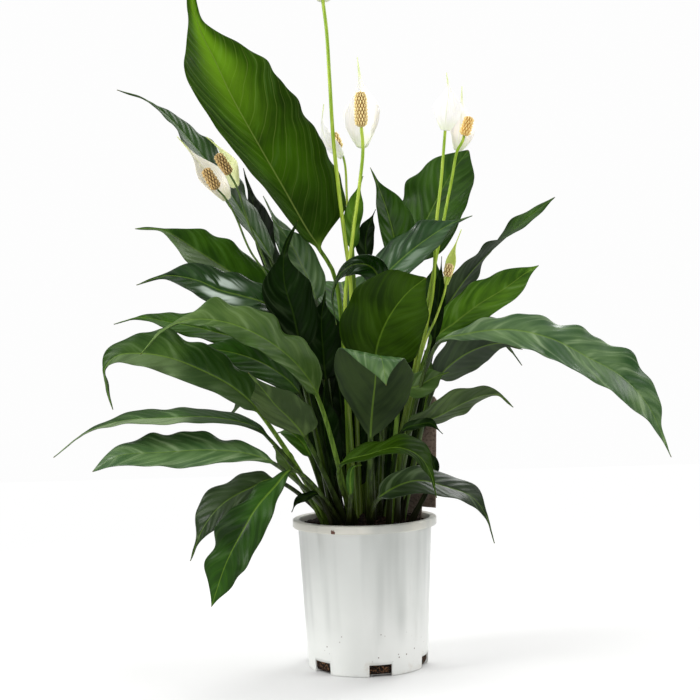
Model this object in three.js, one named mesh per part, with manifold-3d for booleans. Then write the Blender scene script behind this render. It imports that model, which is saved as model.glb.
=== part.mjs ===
import * as THREE from 'three';
import { mergeVertices } from 'three/addons/utils/BufferGeometryUtils.js';
import Module from 'manifold-3d';

// Potted peace lily: a white nursery pot filled with bark and peat, a blank care tag, 33 leaves
// and 8 blooms. Millimetres, +Z up, -Y is the side that the plant is seen from. The origin is the
// centre of the pot's foot, on the surface that the pot stands on.

const wasm = await Module();
wasm.setup();

// ---- Driving dimensions ----

const GAP = 0.3;                  // clearance between two pieces that touch

const POT_HEIGHT = 146;
const POT_FOOT_RADIUS = 59.5;
const POT_NECK_RADIUS = 66.5;     // the wall just under the rim
const POT_RIM_RADIUS = 72;
const POT_RIM_BAND = 8;           // height of the turned-over rim
const POT_WALL = 1.5;
const POT_FLOOR = 2;
const POT_SIDES = 36;
const SLOT_COUNT = 6;
const SLOT_WIDTH = 22;
const SLOT_HEIGHT = 11.5;
const SLOT_DEPTH = 9;             // how far a drainage slot runs in under the floor's edge
const SLOT_FIRST_ANGLE = -79;     // degrees from +X, on the side that is seen
const POT_EDGE = 1;               // how far the pot's foot and rim are eased
const POT_COLLAR = 3;             // height of the slight step under the rim
const POT_COLLAR_STEP = 0.2;
const POT_LIP = 0.6;              // how far the rim leans in over the wall

const SOIL_TOP = 138;
const SOIL_SIDES = 24;
const SOIL_RELIEF = 1.6;          // height of the bark lumps
const SOIL_MOUND = 6.5;           // how much higher the soil lies among the stems
const SOIL_MOUND_RADIUS = 34;
const SOIL_RINGS = [0.8, 0.52, 0.26];

const STEM_DEPTH = 12;            // how far each stem stands in the soil
const STEM_MOUTH = 24;            // length of a stem that its hole's shape follows
const PETIOLE_RADIUS = 2.9;       // leaf stalk at the soil
const PETIOLE_TOP_RADIUS = 2.1;   // leaf stalk where the blade begins
const STALK_RADIUS = 2.7;         // flower stalk at the soil
const STALK_TOP_RADIUS = 2.1;
const STEM_FOCUS = 60;            // height from which the stems fan out
const STEM_SPREAD = 40;           // radius of the ring where the lowest leaves root
const STEM_LOWEST_LEAN = 0.9;     // slope of the stem that roots on that ring
const STEM_CROWDING = 0.6;        // how evenly the roots fill that ring; 1 crowds its middle
const STALK_STEP = 60;            // length of a flower stalk between two rings
const STALK_COLUMNS = 3;

const BLADE = 0.9;                // thickness of a leaf blade
const BLADE_TIP = 0.7;            // half width where a blade ends
const BLADE_OPENS = 0.07;         // where along a blade its stalk has wholly opened into it
const NEAR_END = 0.999;           // the last point where an outline's sine is used
const WIDEST = 0.72;              // how soon a blade is widest; a larger number is nearer the tip
const FILLED = 0.7;               // how pointed its outline is; a smaller number is blunter
const TAIL = 0.64;                // where along the blade it starts to draw out to its tip
const TAIL_LENGTH = 0.26;
const TAIL_LOSS = 0.8;            // how much of its width is gone by the end of that
const SKEW_TURNS = 0.6;           // where along a blade a skew changes sides
const WAVES = 1.8;                // edge waves along a blade
const WAVE_SHIFT = 1.7;           // between the waves of the left and the right edge, in radians
const CUPPING = 0.3;              // how much a half blade flattens out towards its edge
const SPATHE = 0.9;               // thickness of a flower's bract
const SPATHE_ROLL = 1.5;          // radians that each half is rolled up by at its foot
const SPATHE_OPEN = 0.25;         // and at its tip
const SPATHE_OPENED = 0.9;        // where along the bract it has opened that far
const SPATHE_FOOT = 0.05;         // how far into its outline the clasping foot starts
const SPATHE_WIDEST = 0.75;
const SPATHE_FILLED = 0.9;
const SPATHE_CLEARANCE = 0.39;    // between the bract's foot and its stalk
const SPATHE_TAIL = 0.4;          // where along the bract it starts to draw out to its tip
const SPATHE_TAIL_LENGTH = 0.4;
const SPATHE_TAIL_LOSS = 0.85;    // how much of its width is gone by the end of that
const MIDRIB = 1.5;               // how far the midrib stands out under a blade
const MIDRIB_TAPER = 0.9;         // how much of that is gone by the tip
const PETIOLE_TAPER = 0.6;        // how much thinner the stalk's ring gets inside the blade
const FLORET = 0.9;               // how far a floret stands out of the spadix
const FLORET_BED = 0.6;           // how deep under the column's outline the florets stand
const SPADIX_BLUNT = 0.93;        // how far the column is rounded off at both ends
const SPADIX_TAPER = 0.12;        // how much thinner it is at its top
const FLORET_SPACING = 3.6;
const FLORETS_AROUND = 12;
const WIDE_LEAF = 45;             // blades from this width have five columns across, not three
const WIDE_ROWS = [0, 0.07, 0.16, 0.27, 0.39, 0.51, 0.63, 0.75, 0.86, 0.94, 1];
const NARROW_ROWS = [0, 0.08, 0.22, 0.38, 0.54, 0.7, 0.86, 1];
const SPATHE_ROWS = [0, 0.1, 0.22, 0.36, 0.5, 0.64, 0.78, 0.9, 1];
const SPATHE_COLUMNS = 5;
const FINE_STEPS = 12;            // path samples between two guide points

const TAG_WIDTH = 60;
const TAG_HEIGHT = 112;           // the card above its stake
const TAG_THICKNESS = 0.9;
const TAG_STAKE_WIDTH = 24;
const TAG_STAKE_LENGTH = 42;
const TAG_STAKE_TAPER = 0.8;
const TAG_STAKE_TIP = 2;          // half width of the stake's blunt point
const TAG_POINT = 6;              // length of the stake's point
const TAG_CORNER = 3;             // how much the card's upper corners are cut
const TAG_PLACE = [50, 29, 152];  // middle of the card's lower edge
const TAG_LEAN = 3;               // degrees outwards from upright
const TAG_TURN = 137;             // degrees about +Z

// Leaves. blade: guide points of the midrib, from the top of the leaf stalk to the tip.
// face: where the upper side looks at the blade's base. twist: degrees that the blade turns about
// its midrib by its tip. fold: slope of both halves up from the midrib. wave: edge wave in mm.
// widest, filled and tail shape the outline, as WIDEST, FILLED and TAIL do; sides: how much wider
// the left and the right half are than that. skew: how much wider the right half is at the foot.
// stalk: guide points below the blade. root: where the stalk stands, if it isn't worked out.
const LEAVES = [
  { name: 'leaf_tall_left', width: 106, face: [0.72, -0.68, 0.1], twist: -22, fold: 0.5, wave: 1.5,
    widest: 0.86, filled: 0.34, skew: 0.8, root: [-13, -3],
    stalk: [[-23, -3, 386]],
    blade: [[-37, -6, 413], [-50, -9, 434], [-74, -12, 479], [-94, -13, 516], [-121, -12, 568],
      [-137, -9, 605], [-150, -4, 633], [-157, 2, 656], [-160, 7, 684]] },
  { name: 'leaf_back_left', width: 52, face: [0.6, -0.4, 0.65], fold: 0.25, wave: 2, root: [-25, 19],
    blade: [[-88, 50, 405], [-113, 54, 449], [-141, 56, 496], [-169, 56, 533], [-191, 56, 559],
      [-214, 54, 578], [-245, 52, 590]] },
  { name: 'leaf_back_left_low', width: 38, face: [0.8, -0.6, 0.2], fold: 0.2, wave: 1.5, root: [-20, 28],
    blade: [[-88, 88, 385], [-99, 94, 433], [-111, 96, 477], [-119, 94, 511]] },
  { name: 'leaf_left_high', width: 58, face: [0.3, -0.7, 0.65], fold: 0.28, wave: 2, widest: 0.62,
    filled: 0.6, tail: 0.6, root: [-34, 8],
    blade: [[-84, 10, 364], [-107, 6, 380], [-133, 0, 398], [-161, -4, 417], [-193, -8, 437],
      [-220, -10, 439]] },
  { name: 'leaf_left_gloss', width: 44, face: [0.3, -0.65, 0.7], fold: 0.25, wave: 1.5, root: [-30, -17],
    blade: [[-74, -34, 342], [-91, -40, 360], [-110, -42, 367], [-134, -46, 374], [-156, -48, 384],
      [-185, -48, 389], [-214, -48, 381]] },
  { name: 'leaf_left_tip', width: 40, face: [0.2, -0.5, 0.85], fold: 0.15, wave: 1.5, root: [-33, 15],
    blade: [[-97, 30, 313], [-148, 34, 335], [-198, 36, 347], [-225, 36, 352], [-252, 36, 346]] },
  { name: 'leaf_left_front', width: 46, face: [0.3, -0.6, 0.75], fold: 0.2, wave: 3, widest: 0.55,
    filled: 0.6, tail: 0.6, sides: [0.8, 1.15],
    blade: [[-42, -60, 269], [-61, -72, 301], [-92, -80, 327], [-126, -84, 342], [-159, -84, 345],
      [-186, -82, 335], [-207, -78, 314]] },
  { name: 'leaf_left_hook', width: 46, face: [0.25, -0.85, 0.5], fold: 0.2, wave: 3, filled: 0.6,
    tail: 0.62, sides: [0.8, 1.1], root: [-34, -22],
    blade: [[-97, -62, 255], [-120, -66, 279], [-148, -68, 296], [-181, -68, 310], [-209, -66, 315],
      [-232, -64, 313], [-244, -62, 301], [-243, -60, 284], [-238, -58, 262]] },
  { name: 'leaf_left_long', width: 44, face: [0.2, -0.32, 0.9], fold: 0.12, wave: 0.8, widest: 0.8,
    blade: [[-86, -74, 229], [-101, -80, 243], [-138, -84, 253], [-184, -86, 254], [-226, -86, 252],
      [-259, -86, 242], [-290, -84, 220]] },
  { name: 'leaf_left_flat', width: 50, face: [0.1, -0.6, 0.8], fold: 0.12, wave: 2, widest: 1.15,
    tail: 0.84,
    blade: [[-81, -92, 208], [-105, -98, 219], [-139, -102, 224], [-188, -102, 223],
      [-226, -102, 221], [-251, -98, 207]] },
  { name: 'leaf_left_low', width: 44, face: [-0.1, -0.6, 0.8], fold: 0.15, wave: 1.5,
    blade: [[-87, -30, 188], [-111, -36, 181], [-136, -40, 168], [-155, -42, 147], [-170, -42, 113]] },
  { name: 'leaf_left_hanging', width: 42, face: [-0.1, -0.75, 0.65], fold: 0.15, wave: 3, widest: 1.25,
    tail: 0.8,
    blade: [[-66, -104, 204], [-83, -116, 189], [-98, -126, 173], [-110, -132, 154],
      [-126, -132, 125], [-141, -128, 85]] },
  { name: 'leaf_left_under', width: 54, face: [0.3, 0.75, 0.6], fold: 0.15, wave: 1.5,
    blade: [[-55, -64, 232], [-67, -82, 250], [-80, -100, 265], [-91, -116, 281], [-102, -128, 295]] },
  { name: 'leaf_left_edge', width: 44, face: [0.3, -0.6, 0.75], fold: 0.15, wave: 1, root: [-27, -5],
    blade: [[-61, -12, 270], [-82, -16, 293], [-109, -20, 308], [-143, -22, 317], [-174, -24, 320]] },
  { name: 'leaf_left_small', width: 26, face: [0.3, -0.7, 0.7], fold: 0.2, wave: 0.5, root: [-34, -1],
    blade: [[-52, -14, 208], [-62, -6, 224], [-75, 4, 233], [-90, 16, 230]] },
  { name: 'leaf_centre_broad', width: 84, face: [-0.3, -0.92, 0.25], fold: 0.15, wave: 2, widest: 0.8,
    filled: 0.52, tail: 0.8, sides: [1, 0.95], root: [3, -22],
    blade: [[13, -58, 296], [17, -76, 320], [28, -92, 344], [44, -100, 364], [62, -98, 378]] },
  { name: 'leaf_front_fold', width: 68, face: [0, 1, 0.3], fold: 0.06, wave: 0.5, widest: 1.12,
    filled: 0.8, tail: 0.8, sides: [0.95, 1.15], skew: -0.7, root: [5, -29],
    blade: [[7, -74, 228], [9, -92, 256], [12, -112, 282], [14, -130, 302], [16, -139, 307],
      [18, -149, 303], [20, -156, 290], [21, -158, 281]] },
  { name: 'leaf_front_right', width: 46, face: [-0.2, -0.45, 0.87], fold: 0.25, wave: 1.5,
    blade: [[-22, -95, 206], [6, -110, 217], [31, -120, 223], [49, -124, 216], [59, -124, 201],
      [65, -122, 177]] },
  { name: 'leaf_right_low', width: 44, face: [-0.3, 0.5, 0.8], fold: 0.15, wave: 2, root: [31, -24],
    blade: [[46, -45, 234], [75, -52, 249], [99, -56, 261], [118, -56, 267], [132, -56, 266],
      [145, -54, 254]] },
  { name: 'leaf_right_under', width: 52, face: [-0.3, 0.65, 0.7], fold: 0.15, wave: 1.5, root: [37, -7],
    blade: [[75, -18, 281], [94, -10, 300], [118, -3, 312], [142, 5, 316], [164, 12, 309]] },
  { name: 'leaf_right_arch', width: 50, face: [-0.2, -0.62, 0.78], fold: 0.15, wave: 3, widest: 1.15,
    filled: 0.85, tail: 0.74, root: [29, -17],
    blade: [[74, -48, 316], [100, -60, 325], [142, -70, 328], [181, -76, 318], [213, -80, 300],
      [243, -80, 282], [268, -78, 254], [290, -75, 204]] },
  { name: 'leaf_right_bright', width: 48, face: [-0.4, -0.76, 0.5], fold: 0.25, wave: 1.5, widest: 0.85,
    filled: 0.6, tail: 0.78, root: [30, 3],
    blade: [[71, 12, 316], [97, 10, 338], [122, 8, 356], [148, 8, 371], [168, 8, 385], [182, 8, 393]] },
  { name: 'leaf_right_high', width: 42, face: [-0.4, 0.75, 0.4], twist: 88, fold: 0.15, wave: 2,
    widest: 0.95, filled: 0.6, tail: 0.8, root: [25, 12],
    blade: [[80, 33, 336], [100, 39, 370], [124, 40, 399], [152, 37, 424], [178, 35, 445],
      [204, 32, 464]] },
  { name: 'leaf_centre_upright', width: 42, face: [0.3, -0.9, 0.1], fold: 0.35, wave: 1,
    sides: [0.7, 1.1], root: [11, -2],
    blade: [[39, -8, 384], [38, -6, 415], [32, -6, 445], [24, -6, 471], [15, -6, 494]] },
  { name: 'leaf_centre_strap', width: 28, face: [-0.3, -0.6, 0.5], fold: 0.15, wave: 0.5, widest: 0.5,
    tail: 0.45, root: [14, -10],
    blade: [[22, -49, 368], [14, -54, 391], [-2, -61, 395], [-17, -66, 386], [-25, -69, 368],
      [-22, -69, 337]] },
  { name: 'leaf_centre_blue', width: 48, face: [-0.5, -0.8, 0.3], fold: 0.25, wave: 1.5, widest: 0.8,
    root: [9, -17],
    blade: [[13, -35, 359], [26, -32, 384], [46, -31, 403], [69, -31, 420], [91, -31, 433],
      [113, -30, 441]] },
  { name: 'leaf_back_broad', width: 80, face: [-0.5, -0.85, 0.2], fold: 0.12, wave: 3, widest: 0.85,
    filled: 0.5, tail: 0.82,
    blade: [[46, 46, 400], [66, 48, 433], [84, 50, 466], [101, 52, 495], [119, 56, 518]] },
  { name: 'leaf_grey_upright', width: 40, face: [0.7, -0.65, 0.2], fold: 0.2, wave: 1, root: [-13, 5],
    blade: [[-48, 16, 342], [-57, 20, 379], [-69, 22, 415], [-82, 22, 446], [-94, 22, 472]] },
  { name: 'leaf_dark_upright', width: 50, face: [0.2, -0.95, 0.1], fold: 0.28, wave: 1, tail: 0.5,
    root: [-23, -15],
    blade: [[-57, -40, 312], [-64, -42, 349], [-72, -43, 382], [-70, -43, 412], [-57, -42, 440]] },
  { name: 'leaf_low_right', width: 38, face: [-0.2, -0.75, 0.6], fold: 0.15, wave: 1,
    blade: [[12, -82, 172], [29, -80, 183], [51, -74, 188], [77, -68, 181], [102, -64, 170],
      [115, -62, 152], [123, -60, 125]] },
  { name: 'leaf_back_middle', width: 70, face: [0, -0.7, 0.7], fold: 0.2, wave: 2.5,
    blade: [[-10, 90, 330], [-14, 130, 370], [-18, 175, 390], [-22, 225, 378], [-24, 262, 345]] },
  { name: 'leaf_back_right', width: 66, face: [-0.4, -0.5, 0.7], fold: 0.2, wave: 2.5,
    blade: [[44, 96, 310], [80, 125, 338], [122, 155, 345], [160, 182, 325], [188, 200, 290]] },
  { name: 'leaf_back_low', width: 60, face: [0.4, -0.5, 0.7], fold: 0.2, wave: 2.5, root: [-26, 38],
    blade: [[-50, 80, 240], [-85, 120, 262], [-122, 155, 262], [-155, 185, 238]] },
];

// Blooms. stalk: guide points above the soil up to the foot of the spadix. spathe: the bract's
// guide points after its foot, which clasps the stalk. face: where its hollow side looks. thin: the
// stalk's thickness, against STALK_RADIUS. rolled: how far the bract is rolled up, against 1.
const BLOOMS = [
  { name: 'bloom_left_front', face: [0.5, -0.85, -0.1], stipe: 14, thin: 0.55, rolled: 0.6,
    root: [-20, -9],
    stalk: [[-85, -14, 379], [-106, -20, 414], [-119, -26, 448], [-128, -30, 465], [-135, -32, 473]],
    spadix: { length: 23, diameter: 10, axis: [-0.5, -0.1, 0.86] },
    spathe: { width: 28, points: [[-142, -17, 484], [-159, -18, 509], [-174, -25, 527]] } },
  { name: 'bloom_left_back', face: [-0.3, -0.95, 0], stipe: 14, thin: 0.6, rolled: 0.6,
    root: [-20, 11],
    stalk: [[-91, 24, 395], [-110, 22, 446], [-120, 20, 480], [-127, 18, 494]],
    spadix: { length: 24, diameter: 10, axis: [-0.5, -0.1, 0.86] },
    spathe: { width: 25, points: [[-129, 34, 503], [-136, 34, 520], [-151, 30, 535]] } },
  { name: 'bloom_tallest', face: [0.15, -1, 0.1], stipe: 18, thin: 0.95, rolled: 0.9,
    root: [-4, 3],
    stalk: [[-8, 0, 383], [-12, 0, 423], [-16, 0, 463], [-21, 0, 523], [-23, 0, 578], [-25, 0, 634],
      [-28, 0, 666], [-28, 0, 680]],
    spadix: { length: 42, diameter: 14, axis: [-0.1, -0.05, 1] },
    spathe: { width: 62, points: [[-29, 12, 682], [-34, 17, 722], [-38, 8, 775]] } },
  { name: 'bloom_centre', face: [-0.25, -0.97, 0], stipe: 20, thin: 0.9, rolled: 0.8,
    root: [-7, -13],
    stalk: [[-14, -16, 353], [-5, -17, 421], [3, -17, 471], [8, -17, 510], [7, -18, 532]],
    spadix: { length: 35, diameter: 12, axis: [0, -0.05, 1] },
    spathe: { width: 42, points: [[10, -4, 530], [9, 0, 560], [5, -7, 604]] } },
  { name: 'bloom_slim', face: [0.75, 0.6, 0], stipe: 10, thin: 0.65, rolled: 0.6,
    root: [-3, 12],
    stalk: [[-7, 26, 425], [-9, 26, 466], [-10, 26, 502], [-14, 26, 519]],
    spadix: { length: 18, diameter: 6, axis: [-0.32, 0.3, 0.9] },
    spathe: { width: 19, points: [[-28, 27, 527], [-32, 28, 545], [-30, 28, 565]] } },
  { name: 'bloom_right_left', face: [0.2, 0.97, 0], stipe: 14, thin: 0.8, rolled: 0.8,
    root: [21, -4],
    stalk: [[68, -8, 341], [74, -8, 370], [79, -8, 435], [85, -8, 479], [90, -6, 524], [92, -4, 542]],
    spadix: { length: 24, diameter: 10, axis: [0.1, 0.1, 1] },
    spathe: { width: 32, points: [[92, -16, 549], [94, -16, 565], [93, -12, 585]] } },
  { name: 'bloom_right', face: [0.3, -0.95, 0.1], stipe: 16, thin: 0.8, rolled: 0.8,
    root: [19, 4],
    stalk: [[65, 2, 341], [83, 6, 421], [97, 10, 482], [104, 14, 512], [109, 14, 520], [111, 14, 526]],
    spadix: { length: 20, diameter: 10, axis: [0.3, -0.1, 0.94] },
    spathe: { width: 32, points: [[107, 24, 530], [110, 26, 553], [111, 22, 578]] } },
  { name: 'bloom_small', face: [-0.2, -0.95, 0.2], stipe: 8, thin: 0.6, rolled: 0.7,
    root: [24, -12],
    stalk: [[63, -22, 316], [75, -24, 342], [84, -26, 367], [87, -28, 382]],
    spadix: { length: 13, diameter: 8, axis: [0.2, -0.2, 0.95] },
    spathe: { width: 11, points: [[91, -18, 393], [95, -16, 409], [103, -18, 429]] } },
];

// ---- Materials ----

function finish(color, roughness) {
  return new THREE.MeshStandardMaterial({ color, roughness, metalness: 0 });
}

const potWhite = finish(0xf0eee8, 0.4);
const barkBrown = finish(0x2b1d15, 0.95);
const tagBrown = finish(0x9a8b7a, 0.7);
const leafGreen = finish(0x2f6a1f, 0.35);
const stalkGreen = finish(0x8fb43a, 0.45);
const spatheWhite = finish(0xf6f5ee, 0.5);
const spadixCream = finish(0xe8cf95, 0.7);

// ---- Solids from rings, and cuts ----

function smooth(value) {
  const x = Math.min(1, Math.max(0, value));
  return x * x * (3 - 2 * x);
}

function geometryFrom(vertices, triangles) {
  const geometry = new THREE.BufferGeometry();
  geometry.setAttribute('position', new THREE.Float32BufferAttribute(vertices, 3));
  geometry.setIndex(triangles);
  return geometry;
}

// Closed loft through rings. A ring holds its upper row from left to right and then its lower row
// from right to left. Each cell of the lower row is split along the same diagonal as the cell
// above it, so that a thin waved blade never crosses itself.
function loft(rings) {
  const size = rings[0].length;
  const columns = size / 2;
  const middle = (columns - 1) / 2;
  const triangles = [];
  for (let row = 0; row < rings.length - 1; row += 1) {
    for (let k = 0; k < size; k += 1) {
      const a = row * size + k;
      const b = row * size + (k + 1) % size;
      const upper = k < columns - 1;
      const lower = k >= columns && k < size - 1;
      const crossed = (upper && k >= middle) || (lower && size - 2 - k < middle);
      if (crossed) {
        triangles.push(a, b, a + size, b, b + size, a + size);
      } else {
        triangles.push(a, b, b + size, a, b + size, a + size);
      }
    }
  }
  const last = (rings.length - 1) * size;
  for (let j = 0; j < columns - 1; j += 1) {
    const below = size - 1 - j;
    triangles.push(j + 1, j, below, j + 1, below, below - 1);
    triangles.push(last + j, last + j + 1, last + below, last + j + 1, last + below - 1, last + below);
  }
  return geometryFrom(rings.flat().flatMap((point) => point.toArray()), triangles);
}

function toSolid(geometry) {
  const bare = geometry.clone();
  bare.deleteAttribute('normal');
  bare.deleteAttribute('uv');
  const merged = mergeVertices(bare, 1e-4);
  const mesh = new wasm.Mesh({
    numProp: 3,
    vertProperties: new Float32Array(merged.attributes.position.array),
    triVerts: new Uint32Array(merged.index.array),
  });
  return new wasm.Manifold(mesh);
}

function toGeometry(solid) {
  const mesh = solid.getMesh();
  return geometryFrom(Array.from(mesh.vertProperties), Array.from(mesh.triVerts));
}

function cut(geometry, tools) {
  let solid = toSolid(geometry);
  for (const tool of tools) {
    solid = solid.subtract(toSolid(tool));
  }
  return toGeometry(solid);
}

// ---- Paths ----

// A smooth path through the guide points with a frame at each sample. The upper side looks along
// face at the guide point number base, and is carried along the path from there without turning.
function spine(points, base, face) {
  const curve = new THREE.CatmullRomCurve3(points, false, 'centripetal');
  const count = FINE_STEPS * (points.length - 1);
  const centres = curve.getPoints(count);
  const start = base * FINE_STEPS;
  const tangents = centres.map((_, i) => centres[Math.min(i + 1, count)].clone()
    .sub(centres[Math.max(i - 1, 0)]).normalize());
  const uprights = [];
  const carry = (from, i) => from.clone().addScaledVector(tangents[i], -from.dot(tangents[i])).normalize();
  uprights[start] = carry(new THREE.Vector3(...face), start);
  for (let i = start + 1; i <= count; i += 1) {
    uprights[i] = carry(uprights[i - 1], i);
  }
  for (let i = start - 1; i >= 0; i -= 1) {
    uprights[i] = carry(uprights[i + 1], i);
  }
  const lengths = [0];
  for (let i = 1; i <= count; i += 1) {
    lengths[i] = lengths[i - 1] + centres[i].distanceTo(centres[i - 1]);
  }
  return { centres, tangents, uprights, lengths, base: lengths[start], end: lengths[count] };
}

// The frame at a distance along a path, with the upper side turned by an angle in radians.
function frameAt(path, distance, turn = 0) {
  const last = path.lengths.length - 1;
  let i = path.lengths.findIndex((length) => length > distance);
  i = i < 1 ? (distance <= 0 ? 1 : last) : i;
  const part = (distance - path.lengths[i - 1]) / (path.lengths[i] - path.lengths[i - 1]);
  const mix = (list) => list[i - 1].clone().lerp(list[i], part);
  const centre = mix(path.centres);
  const along = mix(path.tangents).normalize();
  const upright = mix(path.uprights);
  upright.addScaledVector(along, -upright.dot(along)).normalize().applyAxisAngle(along, turn);
  const across = new THREE.Vector3().crossVectors(along, upright);
  return { centre, across, upright };
}

function place(frame, x, z) {
  return frame.centre.clone().addScaledVector(frame.across, x).addScaledVector(frame.upright, z);
}

function roundRing(frame, radius, columns) {
  const ring = [];
  for (let k = 0; k < 2 * columns; k += 1) {
    const angle = Math.PI - (k + 0.5) * Math.PI / columns;
    ring.push(place(frame, radius * Math.cos(angle), radius * Math.sin(angle)));
  }
  return ring;
}

// ---- Leaves ----

// Half width of a leaf blade at v, from 0 at its foot to 1 at its tip, on the left (u below 0)
// or the right side of its midrib.
function bladeHalf(leaf, v, u) {
  const { widest = WIDEST, filled = FILLED, tail = TAIL, sides = [1, 1], skew = 0 } = leaf;
  const body = Math.sin(Math.PI * Math.min(v, NEAR_END) ** widest) ** filled;
  const narrowed = 1 - TAIL_LOSS * smooth((v - tail) / TAIL_LENGTH);
  const half = Math.max(BLADE_TIP, 0.5 * leaf.width * body * narrowed);
  return half * sides[u > 0 ? 1 : 0] * (1 + skew * Math.sign(u) * (SKEW_TURNS - v));
}

function bladeHeight(leaf, u, v, half) {
  const phase = u > 0 ? WAVE_SHIFT : 0;
  const ripple = leaf.wave * u * u * Math.sin(2 * Math.PI * WAVES * v + phase) * Math.sin(Math.PI * v);
  return leaf.fold * Math.abs(u) * half * (1 - CUPPING * Math.abs(u)) + ripple;
}

function bladeRing(leaf, frame, v, columns) {
  const grown = smooth(v / BLADE_OPENS);
  const stalkRadius = PETIOLE_TOP_RADIUS * (1 - PETIOLE_TAPER * v);
  const round = roundRing({ centre: new THREE.Vector3(), across: new THREE.Vector3(1, 0, 0),
    upright: new THREE.Vector3(0, 0, 1) }, stalkRadius, columns);
  const slope = 1 / Math.sqrt(1 + leaf.fold * leaf.fold);
  return round.map((corner, k) => {
    const upper = k < columns;
    const column = upper ? k : 2 * columns - 1 - k;
    const u = 2 * column / (columns - 1) - 1;
    const half = bladeHalf(leaf, v, u);
    const rib = u === 0 && !upper ? MIDRIB * (1 - MIDRIB_TAPER * v) : 0;
    const flatX = u * half * slope;
    const flatZ = bladeHeight(leaf, u, v, half) + (upper ? 0.5 : -0.5) * BLADE - rib;
    const x = corner.x + (flatX - corner.x) * grown;
    const z = corner.z + (flatZ - corner.z) * grown;
    return place(frame, x, z);
  });
}

function leafColumns(leaf) {
  return leaf.width >= WIDE_LEAF ? 5 : 3;
}

// Where a stem stands in the soil: the steeper it leans, the further out it roots.
function rootOf(top) {
  const reach = Math.hypot(top[0], top[1]);
  const lean = reach / (top[2] - STEM_FOCUS);
  const radius = STEM_SPREAD * (lean / STEM_LOWEST_LEAN) ** STEM_CROWDING;
  return [top[0] / reach * radius, top[1] / reach * radius];
}

function stemGuide(item, top, rest) {
  const [x, y] = item.root ?? rootOf(top);
  const points = [[x, y, SOIL_TOP - STEM_DEPTH], [x, y, SOIL_TOP], ...rest];
  return points.map((point) => new THREE.Vector3(...point));
}

function leafPath(leaf) {
  const { stalk = [], blade } = leaf;
  const points = stemGuide(leaf, blade[0], [...stalk, ...blade]);
  return spine(points, points.length - blade.length, leaf.face);
}

function petioleRadius(path, distance) {
  return PETIOLE_RADIUS + (PETIOLE_TOP_RADIUS - PETIOLE_RADIUS) * distance / path.base;
}

function leafGeometry(leaf) {
  const path = leafPath(leaf);
  const columns = leafColumns(leaf);
  const rings = [];
  for (const distance of [0, STEM_DEPTH, STEM_MOUTH, 0.5 * path.base, 0.92 * path.base]) {
    rings.push(roundRing(frameAt(path, distance), petioleRadius(path, distance), columns));
  }
  const blade = path.end - path.base;
  for (const v of columns === 5 ? WIDE_ROWS : NARROW_ROWS) {
    const turn = THREE.MathUtils.degToRad(leaf.twist ?? 0) * smooth(v);
    rings.push(bladeRing(leaf, frameAt(path, path.base + blade * v, turn), v, columns));
  }
  return loft(rings);
}

// The six-sided hole that a stem stands in, as wide as the stem and the clearance around it.
function stemHole(path, radiusAt) {
  const rings = [];
  for (const distance of [0, STEM_DEPTH, STEM_MOUTH]) {
    const frame = frameAt(path, distance);
    if (distance === 0) {
      frame.centre.z -= GAP;
    }
    rings.push(roundRing(frame, (radiusAt(distance) + GAP) / Math.cos(Math.PI / 6), 3));
  }
  return loft(rings);
}

// ---- Blooms ----

function stalkPath(bloom) {
  const points = stemGuide(bloom, bloom.stalk[0], bloom.stalk);
  return spine(points, points.length - 1, bloom.face);
}

function stalkRadius(bloom, path, distance) {
  const tapered = STALK_RADIUS + (STALK_TOP_RADIUS - STALK_RADIUS) * distance / path.end;
  return tapered * bloom.thin;
}

function stalkGeometry(bloom) {
  const path = stalkPath(bloom);
  const clasp = path.end - bloom.stipe;
  const rings = [];
  for (const distance of [0, STEM_DEPTH]) {
    rings.push(roundRing(frameAt(path, distance), stalkRadius(bloom, path, distance), STALK_COLUMNS));
  }
  const steps = Math.ceil((clasp - STEM_MOUTH) / STALK_STEP);
  for (let i = 0; i <= steps; i += 1) {
    const distance = STEM_MOUTH + (clasp - STEM_MOUTH) * i / steps;
    rings.push(roundRing(frameAt(path, distance), stalkRadius(bloom, path, distance), STALK_COLUMNS));
  }
  for (const distance of [clasp + bloom.stipe / 2, path.end]) {
    rings.push(roundRing(frameAt(path, distance), stalkRadius(bloom, path, distance), STALK_COLUMNS));
  }
  return loft(rings);
}

// Half width of the bract at v: a clasping foot, widest below the middle, and a long thin tip.
function spatheHalf(v, width) {
  const along = SPATHE_FOOT + (1 - SPATHE_FOOT) * Math.min(v, NEAR_END);
  const body = Math.sin(Math.PI * along ** SPATHE_WIDEST) ** SPATHE_FILLED;
  const narrowed = 1 - SPATHE_TAIL_LOSS * smooth((v - SPATHE_TAIL) / SPATHE_TAIL_LENGTH);
  return Math.max(BLADE_TIP, 0.5 * width * body * narrowed);
}

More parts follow.
